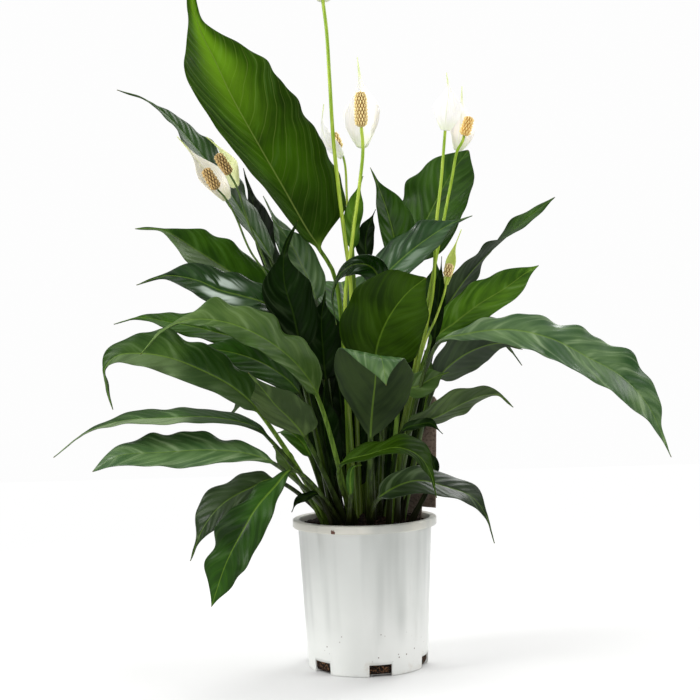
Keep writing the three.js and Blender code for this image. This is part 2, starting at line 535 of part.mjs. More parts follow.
// The bract: a blade rolled up around the stalk at its foot, which opens towards its tip.
function spatheGeometry(bloom) {
  const path = stalkPath(bloom);
  const foot = frameAt(path, path.end - bloom.stipe);
  const back = stalkRadius(bloom, path, path.end - bloom.stipe) + SPATHE_CLEARANCE + SPATHE / 2;
  const heel = foot.centre.clone().addScaledVector(foot.upright, -back);
  const points = [heel, ...bloom.spathe.points.map((point) => new THREE.Vector3(...point))];
  const spathe = spine(points, 0, bloom.face);
  const rings = SPATHE_ROWS.map((v) => {
    const frame = frameAt(spathe, spathe.end * v);
    const half = spatheHalf(v, bloom.spathe.width);
    const opened = (SPATHE_ROLL - SPATHE_OPEN) * (1 - smooth(v / SPATHE_OPENED)) + SPATHE_OPEN;
    const roll = opened * bloom.rolled;
    const ring = [];
    for (let k = 0; k < 2 * SPATHE_COLUMNS; k += 1) {
      const upper = k < SPATHE_COLUMNS;
      const column = upper ? k : 2 * SPATHE_COLUMNS - 1 - k;
      const angle = roll * (2 * column / (SPATHE_COLUMNS - 1) - 1);
      const radius = half / roll + (upper ? -0.5 : 0.5) * SPATHE;
      ring.push(place(frame, radius * Math.sin(angle), half / roll - radius * Math.cos(angle)));
    }
    return ring;
  });
  return loft(rings);
}

// The spadix: a blunt column whose florets stand out from its surface in slanting rows.
function spadixGeometry(bloom) {
  const path = stalkPath(bloom);
  const { length, diameter } = bloom.spadix;
  const rows = Math.max(5, Math.round(length / FLORET_SPACING));
  const profile = [new THREE.Vector2(0, 0)];
  for (let i = 0; i <= rows; i += 1) {
    const v = i / rows;
    const blunt = Math.sqrt(1 - SPADIX_BLUNT * (2 * Math.abs(v - 0.5)) ** 6);
    const radius = 0.5 * diameter * blunt * (1 - SPADIX_TAPER * v) - FLORET_BED;
    profile.push(new THREE.Vector2(radius, length * v));
  }
  profile.push(new THREE.Vector2(0, length + FLORET));
  const geometry = new THREE.LatheGeometry(profile, FLORETS_AROUND);
  geometry.deleteAttribute('normal');
  geometry.deleteAttribute('uv');
  const merged = mergeVertices(geometry, 1e-4);
  const position = merged.attributes.position;
  for (let i = 0; i < position.count; i += 1) {
    const [x, y, z] = [position.getX(i), position.getY(i), position.getZ(i)];
    const radius = Math.hypot(x, z);
    if (radius > 0.01) {
      const row = Math.round(y / length * rows);
      const seat = Math.round(Math.atan2(z, x) / (2 * Math.PI) * FLORETS_AROUND);
      const floret = (row + seat + 2 * FLORETS_AROUND) % 2 === 0 ? FLORET : 0;
      position.setX(i, x * (radius + floret) / radius);
      position.setZ(i, z * (radius + floret) / radius);
    }
  }
  const axis = new THREE.Vector3(...bloom.spadix.axis).normalize();
  const turn = new THREE.Quaternion().setFromUnitVectors(new THREE.Vector3(0, 1, 0), axis);
  merged.applyQuaternion(turn);
  const end = frameAt(path, path.end);
  const lean = Math.sqrt(1 - axis.dot(end.across.clone().cross(end.upright).negate()) ** 2);
  const seat = end.centre.clone().addScaledVector(axis, GAP + stalkRadius(bloom, path, path.end) * lean);
  merged.translate(seat.x, seat.y, seat.z);
  return merged;
}

// ---- Pot, soil and tag ----

function innerRadius(z) {
  return POT_FOOT_RADIUS + (POT_NECK_RADIUS - POT_FOOT_RADIUS) * z / POT_HEIGHT - POT_WALL;
}

function turned(profile, sides) {
  const points = profile.map(([radius, z]) => new THREE.Vector2(radius, z));
  return new THREE.LatheGeometry(points, sides).rotateX(Math.PI / 2);
}

function potGeometry() {
  const under = POT_HEIGHT - POT_RIM_BAND;
  const profile = [
    [0, 0],
    [POT_FOOT_RADIUS - POT_EDGE, 0],
    [POT_FOOT_RADIUS, POT_EDGE],
    [POT_NECK_RADIUS - POT_COLLAR_STEP, under - POT_COLLAR],
    [POT_NECK_RADIUS, POT_HEIGHT - POT_WALL],
    [POT_RIM_RADIUS - POT_WALL, POT_HEIGHT - POT_WALL],
    [POT_RIM_RADIUS - POT_WALL, under],
    [POT_RIM_RADIUS, under],
    [POT_RIM_RADIUS, POT_HEIGHT - POT_EDGE],
    [POT_RIM_RADIUS - POT_EDGE, POT_HEIGHT],
    [POT_NECK_RADIUS - POT_WALL + POT_LIP, POT_HEIGHT],
    [innerRadius(POT_HEIGHT - POT_EDGE), POT_HEIGHT - POT_EDGE],
    [innerRadius(POT_FLOOR), POT_FLOOR],
    [0, POT_FLOOR],
  ];
  const slots = [];
  for (let i = 0; i < SLOT_COUNT; i += 1) {
    const slot = new THREE.BoxGeometry(2 * SLOT_DEPTH, SLOT_WIDTH, 2 * SLOT_HEIGHT);
    slot.translate(POT_FOOT_RADIUS, 0, 0);
    slot.rotateZ(THREE.MathUtils.degToRad(SLOT_FIRST_ANGLE + i * 360 / SLOT_COUNT));
    slots.push(slot);
  }
  return cut(turned(profile, POT_SIDES), slots);
}

function tagGeometry(grow = 0) {
  const half = TAG_WIDTH / 2 + grow;
  const stake = TAG_STAKE_WIDTH / 2 + grow;
  const shape = new THREE.Shape();
  shape.moveTo(-stake, 0);
  shape.lineTo(-stake * TAG_STAKE_TAPER, TAG_POINT - TAG_STAKE_LENGTH - grow);
  shape.lineTo(-TAG_STAKE_TIP, -TAG_STAKE_LENGTH - grow);
  shape.lineTo(TAG_STAKE_TIP, -TAG_STAKE_LENGTH - grow);
  shape.lineTo(stake * TAG_STAKE_TAPER, TAG_POINT - TAG_STAKE_LENGTH - grow);
  shape.lineTo(stake, 0);
  shape.lineTo(half, 0);
  shape.lineTo(half, TAG_HEIGHT - TAG_CORNER);
  shape.lineTo(half - TAG_CORNER, TAG_HEIGHT);
  shape.lineTo(-half + TAG_CORNER, TAG_HEIGHT);
  shape.lineTo(-half, TAG_HEIGHT - TAG_CORNER);
  shape.lineTo(-half, 0);
  shape.closePath();
  const depth = TAG_THICKNESS + 2 * grow;
  const geometry = new THREE.ExtrudeGeometry(shape, { depth, bevelEnabled: false });
  geometry.translate(0, 0, -depth / 2);
  geometry.rotateX(Math.PI / 2 + THREE.MathUtils.degToRad(TAG_LEAN));
  geometry.rotateZ(THREE.MathUtils.degToRad(TAG_TURN));
  return geometry.translate(...TAG_PLACE);
}

function soilGeometry() {
  const edge = innerRadius(SOIL_TOP) - GAP;
  const rings = SOIL_RINGS.map((part) => [edge * part, SOIL_TOP]);
  const profile = [
    [0, POT_FLOOR + GAP],
    [innerRadius(POT_FLOOR) - GAP - 0.2, POT_FLOOR + GAP],
    [edge, SOIL_TOP - 1],
    ...rings,
    [0, SOIL_TOP],
  ];
  const geometry = turned(profile, SOIL_SIDES);
  const position = geometry.attributes.position;
  for (let i = 0; i < position.count; i += 1) {
    const [x, y, z] = [position.getX(i), position.getY(i), position.getZ(i)];
    if (z > SOIL_TOP - 0.5) {
      const lump = Math.sin(0.21 * x + 0.9) * Math.cos(0.27 * y - 0.4) + 0.6 * Math.sin(0.5 * x + 0.43 * y);
      const mound = Math.exp(-(x * x + y * y) / SOIL_MOUND_RADIUS ** 2);
      position.setZ(i, SOIL_TOP + SOIL_RELIEF * lump + SOIL_MOUND * mound);
    }
  }
  const holes = [tagGeometry(GAP)];
  for (const leaf of LEAVES) {
    const path = leafPath(leaf);
    holes.push(stemHole(path, (distance) => petioleRadius(path, distance)));
  }
  for (const bloom of BLOOMS) {
    const path = stalkPath(bloom);
    holes.push(stemHole(path, (distance) => stalkRadius(bloom, path, distance)));
  }
  return cut(geometry, holes);
}

// ---- Assembly ----

const group = new THREE.Group();

function add(name, geometry, material) {
  const mesh = new THREE.Mesh(geometry, material);
  mesh.name = name;
  group.add(mesh);
}

add('pot', potGeometry(), potWhite);
add('soil', soilGeometry(), barkBrown);
add('care_tag', tagGeometry(), tagBrown);
for (const leaf of LEAVES) {
  add(leaf.name, leafGeometry(leaf), leafGreen);
}
for (const bloom of BLOOMS) {
  add(`${bloom.name}_stalk`, stalkGeometry(bloom), stalkGreen);
  add(`${bloom.name}_spathe`, spatheGeometry(bloom), spatheWhite);
  add(`${bloom.name}_spadix`, spadixGeometry(bloom), spadixCream);
}

export default group;
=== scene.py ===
# %% [markdown]
# # A potted peace lily
# The plant stands in a white nursery pot: bark and peat, a blank care tag, 33 leaves and 8 blooms.
# The plain solids come in first as a fixed frame. They say where every piece is and how big it is,
# and each finer piece below is worked out from the same guide points, so it lies where its solid lies.

# %% Load the frame
import bpy
import numpy as np
from math import pi, radians
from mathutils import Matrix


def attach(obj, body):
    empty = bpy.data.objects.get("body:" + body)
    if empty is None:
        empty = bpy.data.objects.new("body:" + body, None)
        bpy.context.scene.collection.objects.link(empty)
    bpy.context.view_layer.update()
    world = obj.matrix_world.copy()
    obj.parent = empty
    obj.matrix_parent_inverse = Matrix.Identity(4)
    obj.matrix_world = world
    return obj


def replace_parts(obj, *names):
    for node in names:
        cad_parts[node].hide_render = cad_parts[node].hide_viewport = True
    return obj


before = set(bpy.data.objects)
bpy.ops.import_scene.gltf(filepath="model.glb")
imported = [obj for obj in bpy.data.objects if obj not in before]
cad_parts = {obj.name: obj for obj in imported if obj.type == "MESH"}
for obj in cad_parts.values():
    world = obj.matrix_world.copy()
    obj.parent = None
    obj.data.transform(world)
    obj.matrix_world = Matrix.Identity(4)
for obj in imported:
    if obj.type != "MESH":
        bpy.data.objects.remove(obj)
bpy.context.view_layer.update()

# %% [markdown]
# ## Camera
# The plant is seen from straight ahead, a little above the pot, from 1.3 m away. The picture is square
# and leans by one and a half degrees, so the camera is rolled by that much. A long lens keeps the
# pot's sides nearly parallel, as they are on the real one.

# %% Camera
PICTURE_SIDE = 700            # pixels
FOCAL_PIXELS = 1300           # distance at which 1 mm covers 1 pixel, in mm
FILM_WIDTH = 36               # mm
CAMERA_ROLL = radians(1.53)

camera_data = bpy.data.cameras.new("camera")
camera_data.sensor_width = FILM_WIDTH
camera_data.lens = FILM_WIDTH * FOCAL_PIXELS / PICTURE_SIDE
camera = bpy.data.objects.new("camera", camera_data)
camera.location = (-0.010, -1.300, 0.313)
camera.rotation_euler = (pi / 2, CAMERA_ROLL, 0)
bpy.context.scene.collection.objects.link(camera)
bpy.context.scene.camera = camera
print("lens:", round(camera_data.lens, 2), "mm")

# %% [markdown]
# ## Networks of nodes
# A finish is a small network of nodes, and so is the light of the sky. A short helper adds nodes and
# joins them. What comes out of a node is a wire, and wires can be written in a formula, so that each
# finish below reads as a list of what is laid over what.

# %% Colours and wires
def pigment(red, green, blue):
    """A colour as on a paint chart, 0 to 255, turned into the linear numbers of a shader."""
    chart = np.array([red, green, blue]) / 255
    linear = np.where(chart <= 0.04045, chart / 12.92, ((chart + 0.055) / 1.055) ** 2.4)
    return (*linear.tolist(), 1)


class Wire:
    """What comes out of a node. Each sign in a formula adds the Math node that works it out."""

    def __init__(self, network, socket):
        self.network, self.socket = network, socket

    def __add__(self, other):
        return self.network.math("ADD", self, other)

    def __sub__(self, other):
        return self.network.math("SUBTRACT", self, other)

    def __rsub__(self, other):
        return self.network.math("SUBTRACT", other, self)

    def __mul__(self, other):
        return self.network.math("MULTIPLY", self, other)

    def __truediv__(self, other):
        return self.network.math("DIVIDE", self, other)

    def __abs__(self):
        return self.network.math("ABSOLUTE", self)


print("white on the chart:", pigment(255, 255, 255))


# %% Networks and finishes
class Network:
    """A tree of nodes, and short calls that add one node each and give its wire."""

    def __init__(self, tree):
        self.nodes, self.links = tree.nodes, tree.links

    def join(self, value, socket):
        """Puts a wire, a number or a colour of the paint chart into a socket."""
        if isinstance(value, Wire):
            self.links.new(value.socket, socket)
        elif socket.type == "RGBA" and len(value) == 3:
            socket.default_value = pigment(*value)
        else:
            socket.default_value = value

    def add(self, kind, inputs, output=0, **settings):
        """Adds a node with these settings and these values in its inputs."""
        node = self.nodes.new("ShaderNode" + kind)
        for name, value in settings.items():
            setattr(node, name, value)
        for name, value in inputs.items():
            self.join(value, node.inputs[name])
        return Wire(self, node.outputs[output])

    def math(self, operation, *values):
        """One sum or function of numbers and wires, by Blender's name for it."""
        return self.add("Math", dict(enumerate(values)), operation=operation)

    def attribute(self, name):
        """A number that the mesh stores at each of its points."""
        return self.add("Attribute", {}, "Fac", attribute_name=name)

    def place(self, scale=(1, 1, 1)):
        """Object coordinates, stretched by a scale for each axis."""
        return self.add("Mapping", {"Vector": self.add("TexCoord", {}, "Object"), "Scale": scale})

    def height(self, where):
        """How high a point lies, in metres."""
        return self.add("SeparateXYZ", {0: where}, "Z")

    def noise(self, where, scale, detail=3.0, rough=0.5):
        """Cloudy noise round 0.5; the larger scale is, the smaller are its clouds."""
        inputs = {"Vector": where, "Scale": scale, "Detail": detail, "Roughness": rough}
        return self.add("TexNoise", inputs, "Fac")

    def cells(self, where, scale):
        """Distance to the nearest of many scattered spots."""
        return self.add("TexVoronoi", {"Vector": where, "Scale": scale}, "Distance")

    def ridges(self, count):
        """0.5 at every whole number of a count, and 0 halfway between: |fraction - 0.5|."""
        return abs(self.math("FRACT", count) - 0.5)

    def step(self, value, low, high, out_low=0.0, out_high=1.0):
        """Goes smoothly from out_low to out_high as the value goes from low to high."""
        inputs = {"Value": value, "From Min": low, "From Max": high, "To Min": out_low, "To Max": out_high}
        return self.add("MapRange", inputs, interpolation_type="SMOOTHSTEP")

    def mix(self, part, under, over):
        """Lays a colour over another, by a part from 0 to 1; 6, 7 and 2 are the node's colour sockets."""
        return self.add("Mix", {0: part, 6: under, 7: over}, 2, data_type="RGBA")


class Finish(Network):
    """A material with one Principled shader."""

    def __init__(self, name, roughness=0.5, **sockets):
        self.material = bpy.data.materials.new(name)
        self.material.use_nodes = True
        super().__init__(self.material.node_tree)
        self.shader = self.nodes["Principled BSDF"].inputs
        self.shader["Roughness"].default_value = roughness
        for socket, value in sockets.items():
            self.shader[socket.replace("_", " ")].default_value = value

    def done(self, colour, relief, distance, strength, roughness=None):
        """Joins the colour, the relief (as a bump) and the roughness to the shader."""
        self.join(colour, self.shader["Base Color"])
        bump = self.add("Bump", {"Height": relief, "Distance": distance, "Strength": strength})
        self.join(bump, self.shader["Normal"])
        if roughness:
            self.join(roughness, self.shader["Roughness"])
        return self.material

# %% [markdown]
# ## Light
# A plant in a bright studio has light from all round and one large soft window of light from the
# upper left. A white world gives the first, and big area lights give the second and the long soft
# highlights along the leaves. The standard view keeps white as white.

# %% World and lights
bpy.context.scene.view_settings.view_transform = "Standard"
bpy.context.scene.view_settings.look = "None"

SKY_BEHIND = 1.0              # light from behind the plant
SKY_FRONT = 0.10              # light from the dark side of the studio
SKY_ABOVE = 0.85              # light from the ceiling
SKY_MIRRORED = 0.2            # how much of the light from the sides is seen in a sheen
BACKDROP = 0.985              # what the camera sees behind the plant

world = bpy.data.worlds.new("studio")
world.use_nodes = True
bpy.context.scene.world = world
sky = Network(world.node_tree)
direction = sky.add("TexCoord", {}, "Generated")
around = sky.step(sky.add("SeparateXYZ", {0: direction}, "Y"), -0.5, 0.8, SKY_FRONT, SKY_BEHIND)
ceiling = sky.step(sky.height(direction), 0.25, 1.0, 0.0, SKY_ABOVE)
mirrored = sky.step(sky.add("LightPath", {}, "Is Glossy Ray"), 0.0, 1.0, 1.0, SKY_MIRRORED)
total = sky.math("MULTIPLY_ADD", around, mirrored, ceiling)
seen = sky.step(sky.add("LightPath", {}, "Is Camera Ray"), 0.0, 1.0, total, BACKDROP)
background = sky.nodes["Background"].inputs
background["Color"].default_value = (1, 1, 1, 1)
sky.join(seen, background["Strength"])


def soft_light(name, place, aim, side, power):
    """A square area light of the given side in metres, turned so that it looks at a point."""
    light = bpy.data.lights.new(name, "AREA")
    light.shape = "SQUARE"
    light.size = side
    light.energy = power
    lamp = bpy.data.objects.new(name, light)
    away = np.array(place, float) - np.array(aim, float)
    away /= np.linalg.norm(away)
    lamp.location = place
    lamp.rotation_euler = (np.arccos(away[2]), 0, np.arctan2(away[1], away[0]) + pi / 2)
    bpy.context.scene.collection.objects.link(lamp)


soft_light("window_left", (-1.6, -0.6, 1.3), (0, 0, 0.40), 0.8, 28)
soft_light("window_right", (1.8, -0.4, 1.3), (0, 0, 0.35), 0.8, 13)
soft_light("window_front", (0.0, -2.1, 0.5), (0, 0, 0.08), 0.8, 9)
soft_light("window_back", (0.9, 1.2, 1.8), (0, 0, 0.35), 0.9, 20)
print("lights:", len(bpy.data.lights))

# %% [markdown]
# ## Working out surfaces with numpy
# Every new piece is a grid of points: one number runs along the piece and one runs across or round it.
# The whole grid is worked out at once as arrays, and then handed to Blender as a mesh.

# %% Meshes from arrays
MM = 0.001                    # the guide points are in mm, and Blender works in metres


def new_piece(name, points, faces, finish, smooth_faces=True):
    """A mesh object at the origin, from (n, 3) points in mm and blocks of (m, 3 or 4) corners."""
    corners = np.concatenate([block.ravel() for block in faces]).astype(np.int32)
    counts = np.concatenate([np.full(len(block), block.shape[1]) for block in faces])
    mesh = bpy.data.meshes.new(name)
    mesh.vertices.add(len(points))
    mesh.vertices.foreach_set("co", (points * MM).astype(np.float32).ravel())
    mesh.loops.add(len(corners))
    mesh.loops.foreach_set("vertex_index", corners)
    mesh.polygons.add(len(counts))
    mesh.polygons.foreach_set("loop_start", (np.cumsum(counts) - counts).astype(np.int32))
    mesh.polygons.foreach_set("use_smooth", np.full(len(counts), smooth_faces))
    mesh.update(calc_edges=True)
    mesh.validate()
    mesh.materials.append(finish)
    piece = bpy.data.objects.new(name, mesh)
    bpy.context.scene.collection.objects.link(piece)
    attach(piece, "root")
    return piece


def note(piece, name, values):
    """Stores one number per point under a name, for the material to read."""
    attribute = piece.data.attributes.new(name, "FLOAT", "POINT")
    attribute.data.foreach_set("value", np.asarray(values, np.float32).ravel())


def tube_faces(rows, around):
    """Four-cornered faces of a closed tube of rows rings: each joins two points to the next ring's."""
    row, k = np.meshgrid(np.arange(rows - 1), np.arange(around), indexing="ij")
    a = row * around + k
    b = row * around + (k + 1) % around
    return np.stack([a, b, b + around, a + around], -1).reshape(-1, 4)


def cap_faces(rows, around):
    """Closes both ends of such a tube, by faces from the ring's first half across to its second half."""
    j = np.arange(around // 2 - 1)
    first = np.stack([j + 1, j, around - 1 - j, around - 2 - j], -1)
    last = np.stack([j, j + 1, around - 2 - j, around - 1 - j], -1) + (rows - 1) * around
    return np.concatenate([first, last])


def fan_faces(rows, around):
    """Closes both ends by fans of three-cornered faces round two middle points, stored last."""
    k = np.arange(around)
    after = (k + 1) % around
    start, total = (rows - 1) * around, rows * around
    return [np.stack([after, k, np.full(around, total)], -1),
            np.stack([start + k, start + after, np.full(around, total + 1)], -1)]


def rotated(a, b, angle):
    """Turns the axes a and b by one angle for each row: (a cos - b sin, a sin + b cos)."""
    cos, sin = np.cos(angle)[:, None], np.sin(angle)[:, None]
    return a * cos - b * sin, a * sin + b * cos


print("units: mm in the guide points")

# %% [markdown]
# ## The pot
# The pot is thin white plastic, turned: a slightly widening wall, a rolled rim and a foot with six
# slots for water. Its profile is carried round the axis on a grid, and the slots are cut with boxes,
# because a boolean keeps the cut's walls clean. The plastic is smooth and slightly glossy. Its rim is
# ivory and a little darker with painted shade from the leaves. Painted shade greys the wall towards the
# rim and in upright streaks, and dust and a few specks of peat cling near the foot.

# %% Plastic finish
CRUMB_PLACE = (-0.031, -0.065, 0.1400)    # a crumb of bark that clings to the rim


def pot_plastic():
    """Clouded white, and over it the ivory rim with painted shade, painted shade greying the wall upwards and
    in upright lines, wiped marks, dust, specks and crumb.
    """
    plastic = Finish("pot_plastic", roughness=0.34, Specular_IOR_Level=0.45)
    where = plastic.place()
    height = plastic.height(where)
    cloud = plastic.noise(where, 14, 4)
    rim = plastic.step(height, 0.1365, 0.1385)
    body = plastic.mix(plastic.step(cloud, 0.35, 0.7), (224, 226, 222), (233, 234, 231))
    # the rim is ivory, and a little darker as painted shade from the leaves above it
    body = plastic.mix(rim, body, (216, 214, 204))
    # painted shade: the wall greys towards the rim, where the leaves shade it
    shade_up_the_wall = plastic.step(height, 0.020, 0.128, 0.0, 0.55)
    body = plastic.mix(shade_up_the_wall * (1.0 - rim), body, (200, 203, 200))
    # painted shade in soft upright streaks on the wall
    shade_streaks = plastic.step(plastic.noise(plastic.place((38, 38, 2.5)), 1.0, 2), 0.44, 0.66, 0.0, 0.6)
    body = plastic.mix(shade_streaks * plastic.step(height, 0.020, 0.060), body, (172, 176, 172))
    wiped = plastic.noise(plastic.place((34, 34, 5)), 1.0, 5, 0.6)
    body = plastic.mix(plastic.step(wiped, 0.55, 0.72, 0.0, 0.28), body, (176, 178, 172))
    dust = plastic.step(plastic.noise(where, 55, 6, 0.7), 0.52, 0.75)
    body = plastic.mix(dust * plastic.step(height, 0.030, 0.002) * 0.5, body, (196, 186, 170))
    speck = plastic.step(plastic.cells(where, 150), 0.13, 0.07)
    speck = speck * plastic.step(plastic.noise(where, 24, 2), 0.53, 0.60)
    body = plastic.mix(speck * plastic.step(height, 0.07, 0.015), body, (96, 70, 52))
    crumb = plastic.add("VectorMath", {0: where, 1: CRUMB_PLACE}, "Value", operation="DISTANCE")
    crumb = plastic.step(crumb + plastic.noise(where, 420, 3) * 0.004, 0.0044, 0.0036)
    body = plastic.mix(crumb, body, (92, 56, 42))
    shine = plastic.step(cloud, 0.3, 0.75, 0.28, 0.42)
    return plastic.done(body, plastic.noise(where, 220, 3), 0.00006, 0.35, shine)


# %% Turned pieces
POT_HEIGHT = 146
FOOT_RADIUS = 59.5
NECK_RADIUS = 66.5
RIM_RADIUS = 72
RIM_BAND = 8
FOOT_ROUND = 1.2              # radius of the rounded bottom edge
RIM_ROUND = 1.4               # radius of the rim's rounded edges
PLAY = 0.2                    # the skin keeps this far inside its solid's sides
WALL = 1.5
FLOOR = 2
AXIS_GAP = 2                  # radius of the flat fan in the middle of a turned piece
SLOT_COUNT = 6
SLOT = (18, 22, 23)           # size of the box that cuts a slot: inwards, along the wall, up
SLOT_FIRST_ANGLE = radians(-79)
POT_AROUND = 192
CORNER_STEPS = 5


def inner_radius(z):
    """The inner wall widens evenly with height."""
    return FOOT_RADIUS + (NECK_RADIUS - FOOT_RADIUS) * z / POT_HEIGHT - WALL


def round_corner(r, z, radius, first, last):
    """Points on an arc round (r, z), for a rounded corner of a profile; angles in degrees."""
    angle = np.radians(np.linspace(first, last, CORNER_STEPS))
    return np.stack([r + radius * np.cos(angle), z + radius * np.sin(angle)], -1)


def turned_piece(name, profile, around, finish, relief=None):
    """Carries a profile of (radius, height), from the axis below, outwards and back to the axis,
    round the axis: x = r cos a, y = r sin a. A relief says how far each point is then raised."""
    angle = np.arange(around) * 2 * pi / around
    r, z = profile[:, :1], profile[:, 1:]
    rows = len(profile)
    grid = np.stack([r * np.cos(angle), r * np.sin(angle), np.broadcast_to(z, (rows, around))], -1)
    points = np.concatenate([grid.reshape(-1, 3), [[0, 0, profile[0, 1]], [0, 0, profile[-1, 1]]]])
    if relief:
        points[:, 2] += relief(*points.T)
    return new_piece(name, points, [tube_faces(rows, around), *fan_faces(rows, around)], finish)


print("pot:", POT_HEIGHT, "mm high,", 2 * RIM_RADIUS, "mm across its rim")


# %% Pot profile and slots
def pot_profile():
    """Foot, outer wall, the step under the rim, the rolled rim, the inner wall and the floor."""
    under = POT_HEIGHT - RIM_BAND
    wall_z = np.linspace(3, under - 4, 12)
    wall_r = FOOT_RADIUS + (NECK_RADIUS - PLAY - FOOT_RADIUS) * wall_z / (under - 3)
    inner_z = np.linspace(POT_HEIGHT - 4, 5, 10)
    lip = RIM_RADIUS - PLAY - RIM_ROUND
    return np.concatenate([
        [(AXIS_GAP, 0), (30, 0), (50, 0)],
        round_corner(FOOT_RADIUS - FOOT_ROUND, FOOT_ROUND, FOOT_ROUND, -90, 0),
        np.stack([wall_r, wall_z], -1),
        [(NECK_RADIUS + PLAY / 2, under - 1), (NECK_RADIUS + 2 * PLAY, under + 0.5)],
        round_corner(lip, under + RIM_ROUND, RIM_ROUND, -90, 0),
        round_corner(lip, POT_HEIGHT - RIM_ROUND, RIM_ROUND, 0, 90),
        [(NECK_RADIUS + WALL, POT_HEIGHT)],
        round_corner(NECK_RADIUS - WALL + 1, POT_HEIGHT - RIM_ROUND, RIM_ROUND, 90, 180),
        np.stack([inner_radius(inner_z), inner_z], -1),
        [(inner_radius(FLOOR) - 1, FLOOR), (40, FLOOR), (20, FLOOR), (AXIS_GAP, FLOOR)],
    ])


def slot_cutter():
    """Six boxes round the foot, as one mesh of eight corners each."""
    x, y, z = np.meshgrid(*[np.array([-0.5, 0.5]) * side for side in SLOT], indexing="ij")
    angle = SLOT_FIRST_ANGLE + np.arange(SLOT_COUNT) * 2 * pi / SLOT_COUNT
    x, y = rotated(x.ravel() + FOOT_RADIUS, y.ravel(), angle)
    sides = np.array([[0, 1, 3, 2], [4, 6, 7, 5], [0, 4, 5, 1], [2, 3, 7, 6], [0, 2, 6, 4], [1, 5, 7, 3]])
    faces = sides[None] + 8 * np.arange(SLOT_COUNT)[:, None, None]
    return np.stack([x, y, np.broadcast_to(z.ravel(), x.shape)], -1).reshape(-1, 3), faces.reshape(-1, 4)


# %% The pot in place
plastic = pot_plastic()
pot = turned_piece("pot_shell", pot_profile(), POT_AROUND, plastic)
slot_points, slot_faces = slot_cutter()
cutter = new_piece("slot_boxes", slot_points, [slot_faces], plastic, smooth_faces=False)
slots = pot.modifiers.new("slots", "BOOLEAN")
slots.object = cutter
slots.operation = "DIFFERENCE"
slots.solver = "EXACT"
cut_mesh = bpy.data.meshes.new_from_object(pot.evaluated_get(bpy.context.evaluated_depsgraph_get()))
pot.modifiers.clear()
pot.data = cut_mesh
bpy.data.objects.remove(cutter)
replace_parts(pot, "pot")
print("pot faces after the slots are cut:", len(pot.data.polygons))

# %% [markdown]
# ## Soil and bark
# The pot is filled almost to the rim with dark peat, and chips of bark lie on it. The filling is a
# turned piece with a lumpy top, and the chips are one mesh of many small flat pieces with six uneven
# sides, strewn by seeded random numbers, because a few dozen faces each are enough at this size. Low
# down, where the filling shows through the slots, pale splinters of bark are mixed into it.

# %% Bark finish
def bark_and_peat(name, dark, light):
    """Grains of light on dark, dark patches, and splinters low down."""
    bark = Finish(name, roughness=0.92, Specular_IOR_Level=0.2)
    where = bark.place()
    grain = bark.noise(where, 170, 6, 0.65)
    patch = bark.noise(where, 45, 3)
    body = bark.mix(bark.step(grain, 0.35, 0.7), dark, light)
    body = bark.mix(bark.step(patch, 0.3, 0.7, 0.0, 0.6), body, dark)
    splinter = bark.step(bark.noise(bark.place((420, 420, 560)), 1.0, 5, 0.7), 0.52, 0.60)
    body = bark.mix(splinter * bark.step(bark.height(where), 0.022, 0.016), body, (116, 82, 56))
    return bark.done(body, grain, 0.0012, 0.8)


# %% Soil shape
GAP = 0.3                     # clearance between pieces that stand in or round each other
SOIL_TOP = 138
SOIL_RELIEF = 1.6
SOIL_AROUND = 180
SOIL_RINGS = 60               # rings from the edge of the top to its middle
MOUND_HEIGHT = 6.5
MOUND_RADIUS = 34


def lumps(x, y):
    """Two crossed waves, as on the plain solid, a finer pair over them and a low mound in the middle."""
    coarse = np.sin(0.21 * x + 0.9) * np.cos(0.27 * y - 0.4) + 0.6 * np.sin(0.5 * x + 0.43 * y)
    fine = np.sin(1.1 * x + 0.7 * y) * np.sin(0.9 * y - 1.3 * x + 2)
    mound = MOUND_HEIGHT * np.exp(-(x ** 2 + y ** 2) / MOUND_RADIUS ** 2)
    return SOIL_RELIEF * (coarse + 0.45 * fine) + mound


def soil_profile():
    """Up the pot's inner wall, a gap away from it, and in rings over the top to the middle."""
    side_z = np.linspace(4, SOIL_TOP - 1, 14)
    top = np.linspace(inner_radius(SOIL_TOP) - GAP - 0.5, AXIS_GAP, SOIL_RINGS)
    return np.concatenate([
        [(r, FLOOR + GAP) for r in (AXIS_GAP, 30, inner_radius(FLOOR) - 1)],
        np.stack([inner_radius(side_z) - GAP, side_z], -1),
        np.stack([top, np.full(SOIL_RINGS, float(SOIL_TOP))], -1),
    ])


print("soil stands", POT_HEIGHT - SOIL_TOP, "mm below the rim")


# %% Bark chips
CHIP_COUNT = 620
CHIP_SIDES = 6
CHIP_RADIUS = (2.2, 5.2)      # least and most, in mm
CHIP_UNEVEN = (0.6, 1.25)     # factors for the corners of one chip
CHIP_LONG, CHIP_NARROW = 1.35, 0.8
CHIP_HALF_THICK = (0.8, 1.8)
CHIP_UPPER = 0.85             # the upper ring is this much smaller
CHIP_CROWN = 1.15             # and its middle this much higher
CHIP_TILT, CHIP_ROLL = 0.45, 0.3    # radians, as a spread
CHIP_STANDS = 1.6             # the most that a chip stands above the soil
random = np.random.default_rng(7)


